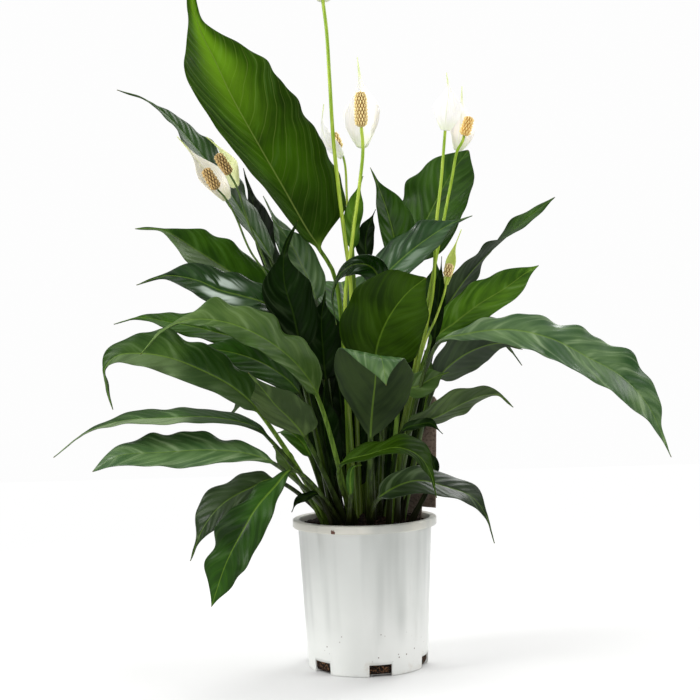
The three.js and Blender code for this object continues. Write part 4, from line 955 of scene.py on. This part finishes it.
# %% The leaves
LEAVES = [
    Leaf("leaf_tall_left", "sunlit", 106, (0.72, -0.68, 0.1), 0.5, 1.5, [(-37, -6, 413), (-50, -9, 434),
         (-74, -12, 479), (-94, -13, 516), (-121, -12, 568), (-137, -9, 605), (-150, -4, 633), (-157, 2, 656),
         (-160, 7, 684)], stalk=[(-23, -3, 386)], root=(-13, -3), twist=-22, ruffle=0.6, widest=0.86,
         filled=0.34, skew=0.8),
    Leaf("leaf_back_left", "deep", 52, (0.6, -0.4, 0.65), 0.25, 2, [(-88, 50, 405), (-113, 54, 449),
         (-141, 56, 496), (-169, 56, 533), (-191, 56, 559), (-214, 54, 578), (-245, 52, 590)],
         root=(-25, 19)),
    Leaf("leaf_back_left_low", "dark", 38, (0.8, -0.6, 0.2), 0.2, 1.5, [(-88, 88, 385), (-99, 94, 433),
         (-111, 96, 477), (-119, 94, 511)], root=(-20, 28)),
    Leaf("leaf_left_high", "half_dull", 58, (0.3, -0.7, 0.65), 0.28, 2, [(-84, 10, 364), (-107, 6, 380),
         (-133, 0, 398), (-161, -4, 417), (-193, -8, 437), (-220, -10, 439)], root=(-34, 8), widest=0.62,
         filled=0.6, tail=0.6),
    Leaf("leaf_left_gloss", "glossy", 44, (0.3, -0.65, 0.7), 0.25, 1.5, [(-74, -34, 342), (-91, -40, 360),
         (-110, -42, 367), (-134, -46, 374), (-156, -48, 384), (-185, -48, 389), (-214, -48, 381)],
         root=(-30, -17)),
    Leaf("leaf_left_tip", "fresh", 40, (0.2, -0.5, 0.85), 0.15, 1.5, [(-97, 30, 313), (-148, 34, 335),
         (-198, 36, 347), (-225, 36, 352), (-252, 36, 346)], root=(-33, 15)),
    Leaf("leaf_left_front", "pale", 46, (0.3, -0.6, 0.75), 0.2, 3, [(-42, -60, 269), (-61, -72, 301),
         (-92, -80, 327), (-126, -84, 342), (-159, -84, 345), (-186, -82, 335), (-207, -78, 314)], ruffle=3.5,
         widest=0.55, filled=0.6, tail=0.6, sides=(0.8, 1.15)),
    Leaf("leaf_left_hook", "hooked", 46, (0.25, -0.85, 0.5), 0.2, 3, [(-97, -62, 255), (-120, -66, 279),
         (-148, -68, 296), (-181, -68, 310), (-209, -66, 315), (-232, -64, 313), (-244, -62, 301),
         (-243, -60, 284), (-238, -58, 262)], root=(-34, -22), ruffle=3, filled=0.6, tail=0.62,
         sides=(0.8, 1.1)),
    Leaf("leaf_left_long", "washed", 44, (0.2, -0.32, 0.9), 0.12, 0.8, [(-86, -74, 229), (-101, -80, 243),
         (-138, -84, 253), (-184, -86, 254), (-226, -86, 252), (-259, -86, 242), (-290, -84, 220)],
         ruffle=0.5, widest=0.8),
    Leaf("leaf_left_flat", "silvery", 50, (0.1, -0.6, 0.8), 0.12, 2, [(-81, -92, 208), (-105, -98, 219),
         (-139, -102, 224), (-188, -102, 223), (-226, -102, 221), (-251, -98, 207)], ruffle=2, widest=1.15,
         tail=0.84),
    Leaf("leaf_left_low", "shaded", 44, (-0.1, -0.6, 0.8), 0.15, 1.5, [(-87, -30, 188), (-111, -36, 181),
         (-136, -40, 168), (-155, -42, 147), (-170, -42, 113)], ruffle=2),
    Leaf("leaf_left_hanging", "deep", 42, (-0.1, -0.75, 0.65), 0.15, 3, [(-66, -104, 204), (-83, -116, 189),
         (-98, -126, 173), (-110, -132, 154), (-126, -132, 125), (-141, -128, 85)], ruffle=4, widest=1.25,
         tail=0.8),
    Leaf("leaf_left_under", "turned", 54, (0.3, 0.75, 0.6), 0.15, 1.5, [(-55, -64, 232), (-67, -82, 250),
         (-80, -100, 265), (-91, -116, 281), (-102, -128, 295)]),
    Leaf("leaf_left_edge", "deep", 44, (0.3, -0.6, 0.75), 0.15, 1, [(-61, -12, 270), (-82, -16, 293),
         (-109, -20, 308), (-143, -22, 317), (-174, -24, 320)], root=(-27, -5)),
    Leaf("leaf_left_small", "fresh", 26, (0.3, -0.7, 0.7), 0.2, 0.5, [(-52, -14, 208), (-62, -6, 224),
         (-75, 4, 233), (-90, 16, 230)], root=(-34, -1)),
    Leaf("leaf_centre_broad", "mild", 84, (-0.3, -0.92, 0.25), 0.15, 2, [(13, -58, 296), (17, -76, 320),
         (28, -92, 344), (44, -100, 364), (62, -98, 378)], root=(3, -22), widest=0.8, filled=0.52, tail=0.8,
         sides=(1, 0.95)),
    Leaf("leaf_front_fold", "folded", 68, (0, 1, 0.3), 0.06, 0.5, [(7, -74, 228), (9, -92, 256),
         (12, -112, 282), (14, -130, 302), (16, -139, 307), (18, -149, 303), (20, -156, 290),
         (21, -158, 281)], root=(5, -29), widest=1.12, filled=0.8, tail=0.8, sides=(0.95, 1.15), skew=-0.7),
    Leaf("leaf_front_right", "mild", 46, (-0.2, -0.45, 0.87), 0.25, 1.5, [(-22, -95, 206), (6, -110, 217),
         (31, -120, 223), (49, -124, 216), (59, -124, 201), (65, -122, 177)]),
    Leaf("leaf_right_low", "turned", 44, (-0.3, 0.5, 0.8), 0.15, 2, [(46, -45, 234), (75, -52, 249),
         (99, -56, 261), (118, -56, 267), (132, -56, 266), (145, -54, 254)], root=(31, -24), ruffle=2),
    Leaf("leaf_right_under", "shaded", 52, (-0.3, 0.65, 0.7), 0.15, 1.5, [(75, -18, 281), (94, -10, 300),
         (118, -3, 312), (142, 5, 316), (164, 12, 309)], root=(37, -7)),
    Leaf("leaf_right_arch", "silvery", 50, (-0.2, -0.62, 0.78), 0.15, 3, [(74, -48, 316), (100, -60, 325),
         (142, -70, 328), (181, -76, 318), (213, -80, 300), (243, -80, 282), (268, -78, 254),
         (290, -75, 204)], root=(29, -17), ruffle=2, widest=1.15, filled=0.85, tail=0.74),
    Leaf("leaf_right_bright", "bright", 48, (-0.4, -0.76, 0.5), 0.25, 1.5, [(71, 12, 316), (97, 10, 338),
         (122, 8, 356), (148, 8, 371), (168, 8, 385), (182, 8, 393)], root=(30, 3), widest=0.85, filled=0.6,
         tail=0.78),
    Leaf("leaf_right_high", "fresh", 42, (-0.4, 0.75, 0.4), 0.15, 2, [(80, 33, 336), (100, 39, 370),
         (124, 40, 399), (152, 37, 424), (178, 35, 445), (204, 32, 464)], root=(25, 12), twist=88,
         widest=0.95, filled=0.6, tail=0.8),
    Leaf("leaf_centre_upright", "fresh", 42, (0.3, -0.9, 0.1), 0.35, 1, [(39, -8, 384), (38, -6, 415),
         (32, -6, 445), (24, -6, 471), (15, -6, 494)], root=(11, -2), sides=(0.7, 1.1)),
    Leaf("leaf_centre_strap", "glossy", 28, (-0.3, -0.6, 0.5), 0.15, 0.5, [(22, -49, 368), (14, -54, 391),
         (-2, -61, 395), (-17, -66, 386), (-25, -69, 368), (-22, -69, 337)], root=(14, -10), widest=0.5,
         tail=0.45),
    Leaf("leaf_centre_blue", "blue", 48, (-0.5, -0.8, 0.3), 0.25, 1.5, [(13, -35, 359), (26, -32, 384),
         (46, -31, 403), (69, -31, 420), (91, -31, 433), (113, -30, 441)], root=(9, -17), widest=0.8),
    Leaf("leaf_back_broad", "fresh", 80, (-0.5, -0.85, 0.2), 0.12, 3, [(46, 46, 400), (66, 48, 433),
         (84, 50, 466), (101, 52, 495), (119, 56, 518)], widest=0.85, filled=0.5, tail=0.82),
    Leaf("leaf_grey_upright", "silvery", 40, (0.7, -0.65, 0.2), 0.2, 1, [(-48, 16, 342), (-57, 20, 379),
         (-69, 22, 415), (-82, 22, 446), (-94, 22, 472)], root=(-13, 5)),
    Leaf("leaf_dark_upright", "dark", 50, (0.2, -0.95, 0.1), 0.28, 1, [(-57, -40, 312), (-64, -42, 349),
         (-72, -43, 382), (-70, -43, 412), (-57, -42, 440)], root=(-23, -15), tail=0.5),
    Leaf("leaf_low_right", "shaded", 38, (-0.2, -0.75, 0.6), 0.15, 1, [(12, -82, 172), (29, -80, 183),
         (51, -74, 188), (77, -68, 181), (102, -64, 170), (115, -62, 152), (123, -60, 125)]),
    Leaf("leaf_back_middle", "deep", 70, (0, -0.7, 0.7), 0.2, 2.5, [(-10, 90, 330), (-14, 130, 370),
         (-18, 175, 390), (-22, 225, 378), (-24, 262, 345)]),
    Leaf("leaf_back_right", "deep", 66, (-0.4, -0.5, 0.7), 0.2, 2.5, [(44, 96, 310), (80, 125, 338),
         (122, 155, 345), (160, 182, 325), (188, 200, 290)]),
    Leaf("leaf_back_low", "deep", 60, (0.4, -0.5, 0.7), 0.2, 2.5, [(-50, 80, 240), (-85, 120, 262),
         (-122, 155, 262), (-155, 185, 238)], root=(-26, 38)),
]

for seed, leaf in enumerate(LEAVES):
    piece = leaf_piece(leaf, seed)
    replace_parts(piece, leaf.name)
print("leaves:", len(LEAVES), "faces each:", len(piece.data.polygons))

# %% [markdown]
# ## Shoots between the leaves
# A full plant also has shoots and small leaves that are too slight to be solids of their own: slips
# that show between the big leaves, and leaves deep in the clump whose near-black finish paints the
# shade in its middle.
# They come from the same loft, and each one stands in the soil too.

# %% Shoots
FIRST_SHOOT_SEED = 100
SHOOTS = [
    Leaf("shoot_left_pale", "pale", 20, (0.5, -0.8, 0.3), 0.2, 0.5, [(-71, -24, 197), (-78, -26, 209),
         (-88, -28, 221)], root=(-38, -20)),
    Leaf("shoot_narrow_right", "dark", 12, (-0.2, -0.6, 0.8), 0.3, 0.5, [(38, -58, 234), (53, -62, 240),
         (65, -64, 241), (76, -66, 231)], root=(22, -44)),
    Leaf("shoot_olive_right", "pale", 26, (-0.3, -0.9, 0.2), 0.2, 1, [(41, -36, 270), (57, -38, 277),
         (73, -38, 285), (86, -36, 289)], root=(28, -24)),
    Leaf("shoot_light_centre", "bright", 20, (0.4, -0.9, 0), 0.2, 1, [(-5, 14, 414), (-5, 16, 439),
         (0, 18, 465), (8, 18, 489)], root=(2, 22)),
    Leaf("shoot_dark_centre", "dark", 20, (-0.3, -0.9, 0), 0.3, 1, [(9, 24, 402), (9, 26, 425), (14, 28, 443),
         (20, 28, 456)], root=(8, 30)),
    Leaf("shoot_beside_tag", "dark", 11, (0, -1, 0), 0.2, 0.3, [(69, -30, 190), (68, -30, 202),
         (66, -30, 212)], root=(44, -26)),
    Leaf("shoot_curled_left", "dark", 10, (0, -0.5, 0.8), 0.3, 1, [(-44, -66, 177), (-55, -72, 175),
         (-65, -76, 170), (-69, -78, 162)], root=(-30, -52)),
    Leaf("shoot_pale_right", "pale", 9, (0, -1, 0), 0.2, 0.3, [(69, -12, 284), (67, -12, 297),
         (66, -12, 308)], root=(36, -12)),
    Leaf("shoot_upright_right", "dark", 15, (-0.2, -1, 0), 0.25, 0.6, [(74, -2, 321), (78, -2, 351),
         (82, -2, 380), (84, -2, 404)], root=(34, 20)),
    Leaf("shoot_hooked", "fresh", 8, (0, -0.9, 0.3), 0.3, 0.2, [(-13, -84, 178), (-13, -88, 194),
         (-10, -92, 204), (-2, -94, 206)], root=(-16, -46)),
    Leaf("shoot_low_dark", "dark", 16, (0, -0.9, 0.4), 0.2, 0.6, [(46, -10, 182), (56, -10, 190),
         (66, -10, 203)], root=(36, -16)),
    Leaf("shoot_inner_a", "dark", 44, (0.2, -1, 0), 0.2, 1.5, [(-44, 20, 243), (-47, 22, 283), (-42, 24, 324),
         (-33, 22, 359)], root=(-22, 24)),
    Leaf("shoot_inner_b", "dark", 46, (0, -1, 0), 0.2, 1.5, [(-17, 24, 222), (-21, 26, 262), (-24, 28, 303),
         (-26, 26, 346)], root=(-8, 28)),
    Leaf("shoot_inner_c", "dark", 44, (0, -1, 0), 0.2, 1.5, [(10, 22, 221), (11, 24, 262), (17, 26, 302),
         (26, 26, 338)], root=(8, 26)),
    Leaf("shoot_inner_d", "dark", 40, (-0.2, -1, 0), 0.2, 1.5, [(34, 20, 231), (40, 24, 266), (45, 26, 301),
         (44, 26, 332)], root=(22, 24)),
    Leaf("shoot_inner_e", "dark", 36, (0.3, -0.9, 0.2), 0.2, 1.5, [(-56, 10, 244), (-62, 8, 276),
         (-70, 6, 304), (-82, 2, 325)], root=(-30, 12)),
    Leaf("shoot_inner_f", "dark", 34, (0, -1, 0), 0.25, 1, [(-33, -10, 184), (-36, -8, 214), (-38, -6, 248),
         (-36, -6, 284)], root=(-24, -4)),
    Leaf("shoot_inner_g", "dark", 40, (0, -1, 0), 0.25, 1, [(-8, 10, 172), (-10, 12, 206), (-10, 14, 244),
         (-13, 14, 278)], root=(-6, 10)),
    Leaf("shoot_inner_h", "dark", 36, (0, -1, 0), 0.25, 1, [(20, 4, 172), (24, 6, 206), (30, 8, 238),
         (37, 8, 266)], root=(16, 4)),
    Leaf("shoot_inner_i", "dark", 28, (-0.3, -1, 0), 0.25, 1, [(44, 18, 206), (54, 20, 244), (62, 22, 278),
         (66, 22, 311)], root=(30, 16)),
    Leaf("shoot_inner_j", "dark", 46, (0.1, -1, 0), 0.25, 1, [(-35, 4, 283), (-37, 6, 313), (-38, 6, 343),
         (-33, 8, 374)], root=(-14, 12)),
    Leaf("shoot_streaked", "silvery", 38, (0.3, -0.9, 0.2), 0.15, 1, [(-43, 12, 363), (-54, 12, 394),
         (-69, 12, 425), (-86, 12, 449)], root=(-24, 16)),
    Leaf("shoot_behind_stalks", "deep", 28, (-0.3, -0.9, 0.1), 0.2, 1, [(74, 30, 330), (77, 30, 361),
         (80, 30, 385), (80, 30, 408)], root=(28, 26)),
]

for seed, shoot in enumerate(SHOOTS):
    leaf_piece(shoot, FIRST_SHOOT_SEED + seed)
print("shoots:", len(SHOOTS))

# %% [markdown]
# ## Bloom finishes
# A bloom has three parts. The stalk is smooth and yellow-green, darker towards the soil with painted
# shade. The spathe is a white bract with fine green veins at its back. The spadix is a cream column set
# with small florets, brown between them, partly their own colour and partly painted shade in the hollows.

# %% Bloom finishes
def stalk_green(name, deep, fresh):
    """Streaks of two greens, and darker towards the soil, which is painted shade low in the clump."""
    stalk = Finish(name, roughness=0.38, Specular_IOR_Level=0.4)
    streak = stalk.noise(stalk.place((300, 300, 30)), 1.0, 4)
    tone = stalk.mix(stalk.step(streak, 0.35, 0.68), deep, fresh)
    # painted shade: the stalk darkens below 0.4 m, where the leaves shade it
    low = stalk.step(stalk.height(stalk.place()), 0.40, 0.22, 0.0, 0.85)
    return stalk.done(stalk.mix(low, tone, (48, 72, 10)), streak, 0.0002, 0.4)


def spathe_white(name, pale, veined, green_part):
    """White and a little translucent, with fine lines along it and green at its foot, keel and tip."""
    bract = Finish(name, roughness=0.5, Specular_IOR_Level=0.2, Subsurface_Weight=0.7,
                   Subsurface_Radius=(1, 1, 0.85), Subsurface_Scale=0.004)
    from_midrib, tip = bract.attribute("from_midrib"), bract.attribute("towards_tip")
    lines = bract.math("SINE", from_midrib * 3.4)
    green = bract.step(tip, 0.30, 0.0) * 0.35
    keel = bract.step(abs(from_midrib), 1.0, 0.2)
    for part in (keel * 0.30, bract.step(tip, 0.62, 0.92) * 0.75, green_part):
        green = bract.math("MAXIMUM", green, part)
    body = bract.mix(bract.step(lines, 0.3, 1.0, 0.0, 0.15), pale, veined)
    return bract.done(bract.mix(green, body, (172, 196, 88)), lines, 0.0002, 0.4)


def spadix_cream(name, floret, pit):
    """Cream where a floret stands out, and darker between: partly its own brown, partly painted shade."""
    column = Finish(name, roughness=0.6, Specular_IOR_Level=0.3)
    grain = column.noise(column.place(), 900, 3)
    # darker where the column sinks between florets: partly their own brown and partly painted shade in the
    # hollows
    body = column.mix(column.step(column.attribute("floret"), 0.16, 0.56), pit, floret)
    body = column.mix(column.step(grain, 0.4, 0.7, 0.0, 0.2), body, (250, 236, 190))
    return column.done(body, grain, 0.0002, 0.5)


# lit and dark are lit and shaded copies of one stalk finish: painted light and painted shade
STEMS = {
    "lit": stalk_green("stalk_green", (132, 168, 30), (184, 206, 72)),
    "dark": stalk_green("stalk_dark_green", (52, 80, 14), (84, 112, 30)),
}
BRACTS = {
    "white": spathe_white("spathe_white", (255, 254, 250), (238, 240, 222), 0.0),
    "blush": spathe_white("spathe_blush", (244, 234, 220), (226, 222, 196), 0.08),
    "muted": spathe_white("spathe_muted", (212, 214, 178), (170, 178, 128), 0.25),
    "green": spathe_white("spathe_green", (206, 212, 132), (158, 178, 82), 0.65),
}
CREAM = {
    "cream": spadix_cream("spadix_cream", (250, 228, 160), (146, 100, 34)),
    "browner": spadix_cream("spadix_browner", (206, 172, 108), (104, 74, 32)),
    "orange": spadix_cream("spadix_orange", (252, 224, 150), (214, 156, 64)),
}
print("bloom finishes:", len(STEMS), len(BRACTS), len(CREAM))

# %% [markdown]
# ## Bloom shapes
# The stalk is a round tube. The spathe is a blade that starts rolled round the stalk and opens as it
# rises, so each ring is an arc whose radius is the half width over the angle that it is rolled by.
# The spadix is a turned column with florets pushed out of it in crossing spirals.

# %% Stalk
STALK_RADIUS = 2.5
STALK_TOP_RADIUS = 1.8
STALK_STEPS = 96
STALK_HALF_RING = 8           # points in half a ring


class Bloom:
    """One row of the table of blooms. stalk holds guide points from above the soil to the foot of the
    spadix, stipe is how far below it the spathe is joined, and face is where the spathe's inner side
    looks. thin is a factor for the stalk's radius and rolled one for how far the spathe is rolled up.
    spathe holds its width and the points along its middle after the stalk, and spadix its length,
    diameter and direction. stem, bract and cream name the finishes."""
    stem, bract, cream = "lit", "white", "cream"

    def __init__(self, name, **measures):
        self.name = name
        self.__dict__.update(measures)


def stalk_path(bloom):
    """From the soil to the spadix; the stalk's upper side looks along face at its upper end."""
    guides = guides_from_soil(bloom.root, bloom.stalk)
    return spine(guides, len(guides) - 1, bloom.face)


def stalk_radius(bloom, part):
    """The radius at a part of the way up, from 0 at the soil to 1 at the spadix."""
    return bloom.thin * (STALK_RADIUS + (STALK_TOP_RADIUS - STALK_RADIUS) * part)


def stalk_piece(bloom):
    """A round ring carried up the path, thinner towards the top."""
    path = stalk_path(bloom)
    distance = np.linspace(0, path["end"], STALK_STEPS)
    radius = stalk_radius(bloom, distance / path["end"])[:, None]
    ring_x, ring_z = stalk_ring(STALK_HALF_RING)
    piece = loft(bloom.name + "_stalk_skin", frames_at(path, distance), radius * ring_x, radius * ring_z,
                 STEMS[bloom.stem])
    return piece


print("stalks:", 2 * STALK_RADIUS, "mm thick, times each bloom's own factor")

# %% Spathe
SPATHE = 0.9                  # thickness
SPATHE_ROWS = 72
SPATHE_TIP = 0.45             # half width of the tip
SPATHE_FOOT = 0.05            # part of the outline that the foot leaves out
SPATHE_WIDEST = 0.75
SPATHE_FILLED = 0.9
SPATHE_TAIL = 0.4             # where it starts to be drawn in
SPATHE_TAIL_LENGTH = 0.4
SPATHE_TAIL_LOSS = 0.85
SPATHE_OPEN = 0.25            # angle that its edges are still rolled by, near the tip
SPATHE_CLOSED = 1.5           # the same at its foot
SPATHE_OPENS = 0.9            # part of its length in which it opens
SPATHE_CLEARANCE = 1.3 * GAP
SPATHE_CREASE = 0.5           # depth of the crease along its middle
SPATHE_EDGE_THINNING = 0.4


def spathe_half(v, width):
    """Half width: a clasping foot, widest below the middle, and a long thin tip."""
    inner = (SPATHE_FOOT + (1 - SPATHE_FOOT) * np.minimum(v, NEAR_END)) ** SPATHE_WIDEST
    body = np.sin(pi * inner) ** SPATHE_FILLED
    drawn = 1 - SPATHE_TAIL_LOSS * smooth((v - SPATHE_TAIL) / SPATHE_TAIL_LENGTH)
    return np.maximum(SPATHE_TIP, 0.5 * width * body * drawn)


def spathe_piece(bloom):
    """Each ring is an arc of half / roll radius that spans the roll angle to both sides."""
    path = stalk_path(bloom)
    foot, _, up = [block[0] for block in frames_at(path, np.array([path["end"] - bloom.stipe]))]
    heel = foot - up * (stalk_radius(bloom, 1) + SPATHE_CLEARANCE + SPATHE / 2)
    bract = spine([heel, *bloom.spathe["points"]], 0, bloom.face)
    v = np.linspace(0, 1, SPATHE_ROWS)[:, None]
    half = spathe_half(v, bloom.spathe["width"])
    roll = ((SPATHE_CLOSED - SPATHE_OPEN) * (1 - smooth(v / SPATHE_OPENS)) + SPATHE_OPEN) * bloom.rolled
    crease = SPATHE_CREASE * np.exp(-(RING_U * half / 1.5) ** 2) * np.sin(pi * v)
    radius = half / roll - SKIN * SPATHE / 2 * (1 - SPATHE_EDGE_THINNING * np.abs(RING_U) ** 6) + crease
    x = radius * np.sin(roll * RING_U)
    z = half / roll - radius * np.cos(roll * RING_U)
    piece = loft(bloom.name + "_spathe_skin", frames_at(bract, bract["end"] * v[:, 0]), x, z,
                 BRACTS[bloom.bract])
    note(piece, "from_midrib", half * RING_U)
    note(piece, "towards_tip", np.broadcast_to(v, x.shape))
    return piece


# %% Spadix
SPADIX_AROUND = 84
SPADIX_ROW = 0.42             # mm from ring to ring
SPADIX_BLUNT = 0.93           # how much its ends are drawn in
SPADIX_TAPER = 0.12
SPADIX_CAP = 0.8              # mm that its middle point stands above the last ring's length
FLORET_PITCH = 6.8            # mm from one floret to the next in its row
FLORET_RELIEF = 2.3
FLORET_SUNK = 1.1             # the pits between florets lie this far inside the column


def spadix_piece(bloom):
    """A blunt column: its radius falls off steeply at both ends, and florets in crossing spirals
    stand out from it where two slanting waves both swing far to one side."""
    length, thick = bloom.spadix["length"], bloom.spadix["diameter"] / 2
    path = stalk_path(bloom)
    axis = unit(np.array(bloom.spadix["axis"], float))
    centre, side, upright = [block[0] for block in frames_at(path, np.array([path["end"]]))]
    lean = np.sqrt(max(0.0, 1 - axis.dot(np.cross(upright, side)) ** 2))
    seat = centre + axis * (GAP + stalk_radius(bloom, 1) * lean)

    rows = int(length / SPADIX_ROW)
    t = np.linspace(0.0, 1, rows)[:, None]
    angle = (np.arange(SPADIX_AROUND) * 2 * pi / SPADIX_AROUND)[None]
    blunt = np.sqrt(np.maximum(1 - SPADIX_BLUNT * (2 * np.abs(t - 0.5)) ** 6, 0.03))
    spirals = 2 * max(3, round(2 * pi * thick / FLORET_PITCH))
    climb = 2 * pi * length * t / FLORET_PITCH
    bead = np.abs(np.cos(spirals * angle / 2 + climb / 2) * np.cos(spirals * angle / 2 - climb / 2))
    stands_out = FLORET_RELIEF * bead ** 0.8 * smooth(t / 0.05) * smooth((1 - t) / 0.05)
    radius = thick * blunt * (1 - SPADIX_TAPER * t) - FLORET_SUNK + stands_out
    rise = length * t + 0.4 * (t - 0.5)
    first = unit(np.cross(axis, (0.3, 1, 0)))
    second = np.cross(axis, first)
    grid = (seat + axis * rise[..., None] + first * (radius * np.cos(angle))[..., None]
            + second * (radius * np.sin(angle))[..., None])
    points = np.concatenate([grid.reshape(-1, 3), [seat, seat + axis * (length + SPADIX_CAP)]])
    faces = [tube_faces(rows, SPADIX_AROUND), *fan_faces(rows, SPADIX_AROUND)]
    piece = new_piece(bloom.name + "_spadix_skin", points, faces, CREAM[bloom.cream])
    note(piece, "floret", np.append(bead, [0.8, 0.8]))
    return piece


# %% [markdown]
# ## Where each bloom stands
# These are the guide points of the 8 blooms, in mm, the same as those of the plain solids: up the
# stalk to the foot of the spadix, and then from the stalk along the middle of the spathe.

# %% The blooms
BLOOMS = [
    Bloom("bloom_left_front", face=(0.5, -0.85, -0.1), stipe=14, root=(-20, -9), cream="browner", stem="dark",
         bract="blush", thin=0.55, rolled=0.6, stalk=[(-85, -14, 379), (-106, -20, 414), (-119, -26, 448),
         (-128, -30, 465), (-135, -32, 473)], spadix=dict(length=23, diameter=10, axis=(-0.5, -0.1, 0.86)),
         spathe=dict(width=28, points=[(-142, -17, 484), (-159, -18, 509), (-174, -25, 527)])),
    Bloom("bloom_left_back", face=(-0.3, -0.95, 0), stipe=14, root=(-20, 11), cream="browner", stem="dark",
         bract="muted", thin=0.6, rolled=0.6, stalk=[(-91, 24, 395), (-110, 22, 446), (-120, 20, 480),
         (-127, 18, 494)], spadix=dict(length=24, diameter=10, axis=(-0.5, -0.1, 0.86)), spathe=dict(width=25,
         points=[(-129, 34, 503), (-136, 34, 520), (-151, 30, 535)])),
    Bloom("bloom_tallest", face=(0.15, -1, 0.1), stipe=18, root=(-4, 3), thin=0.95, rolled=0.9,
         stalk=[(-8, 0, 383), (-12, 0, 423), (-16, 0, 463), (-21, 0, 523), (-23, 0, 578), (-25, 0, 634),
         (-28, 0, 666), (-28, 0, 680)], spadix=dict(length=42, diameter=14, axis=(-0.1, -0.05, 1)),
         spathe=dict(width=62, points=[(-29, 12, 682), (-34, 17, 722), (-38, 8, 775)])),
    Bloom("bloom_centre", face=(-0.25, -0.97, 0), stipe=20, root=(-7, -13), thin=0.9, rolled=0.8,
         stalk=[(-14, -16, 353), (-5, -17, 421), (3, -17, 471), (8, -17, 510), (7, -18, 532)],
         spadix=dict(length=35, diameter=12, axis=(0, -0.05, 1)), spathe=dict(width=42, points=[(10, -4, 530),
         (9, 0, 560), (5, -7, 604)])),
    Bloom("bloom_slim", face=(0.75, 0.6, 0), stipe=10, root=(-3, 12), thin=0.65, rolled=0.6,
         stalk=[(-7, 26, 425), (-9, 26, 466), (-10, 26, 502), (-14, 26, 519)], spadix=dict(length=18,
         diameter=6, axis=(-0.32, 0.3, 0.9)), spathe=dict(width=19, points=[(-28, 27, 527), (-32, 28, 545),
         (-30, 28, 565)])),
    Bloom("bloom_right_left", face=(0.2, 0.97, 0), stipe=14, root=(21, -4), thin=0.8, rolled=0.8,
         stalk=[(68, -8, 341), (74, -8, 370), (79, -8, 435), (85, -8, 479), (90, -6, 524), (92, -4, 542)],
         spadix=dict(length=24, diameter=10, axis=(0.1, 0.1, 1)), spathe=dict(width=32,
         points=[(92, -16, 549), (94, -16, 565), (93, -12, 585)])),
    Bloom("bloom_right", face=(0.3, -0.95, 0.1), stipe=16, root=(19, 4), cream="orange", thin=0.8, rolled=0.8,
         stalk=[(65, 2, 341), (83, 6, 421), (97, 10, 482), (104, 14, 512), (109, 14, 520), (111, 14, 526)],
         spadix=dict(length=20, diameter=10, axis=(0.3, -0.1, 0.94)), spathe=dict(width=32,
         points=[(107, 24, 530), (110, 26, 553), (111, 22, 578)])),
    Bloom("bloom_small", face=(-0.2, -0.95, 0.2), stipe=8, root=(24, -12), bract="green", thin=0.6,
         rolled=0.7, stalk=[(63, -22, 316), (75, -24, 342), (84, -26, 367), (87, -28, 382)],
         spadix=dict(length=13, diameter=8, axis=(0.2, -0.2, 0.95)), spathe=dict(width=11,
         points=[(91, -18, 393), (95, -16, 409), (103, -18, 429)])),
]

for bloom in BLOOMS:
    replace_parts(stalk_piece(bloom), bloom.name + "_stalk")
    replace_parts(spathe_piece(bloom), bloom.name + "_spathe")
    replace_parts(spadix_piece(bloom), bloom.name + "_spadix")
print("blooms:", len(BLOOMS))

# %% [markdown]
# ## Floor
# The floor is a plain pale surface. It is large, so that no edge of it shows, and it isn't part of the plant.

# %% Floor
FLOOR_GREY = (0.68, 0.68, 0.675, 1)
SWEEP_STARTS = 0.34           # metres from the middle of the pot
SWEEP_ENDS = 1.10
FLOOR_HALF = 2.0              # metres


def plain_floor():
    """Plain and pale, and with distance it turns into the bright backdrop, like a sweep of paper."""
    floor = Finish("plain_floor", roughness=0.85, Specular_IOR_Level=0.1, Emission_Color=(1, 1, 1, 1))
    away = floor.add("VectorMath", {0: floor.place()}, "Value", operation="LENGTH")
    swept = floor.step(away, SWEEP_STARTS, SWEEP_ENDS)
    floor.join(floor.mix(swept, FLOOR_GREY, (0, 0, 0)), floor.shader["Base Color"])
    floor.join(swept * BACKDROP, floor.shader["Emission Strength"])
    return floor.material


corners = np.array([(-1, -1, 0), (1, -1, 0), (1, 1, 0), (-1, 1, 0)]) * FLOOR_HALF
floor_mesh = bpy.data.meshes.new("floor")
floor_mesh.from_pydata(corners.tolist(), [], [(0, 1, 2, 3)])
floor_mesh.materials.append(plain_floor())
floor = bpy.data.objects.new("floor", floor_mesh)
bpy.context.scene.collection.objects.link(floor)
print("floor:", 2 * FLOOR_HALF, "m wide")

# %% [markdown]
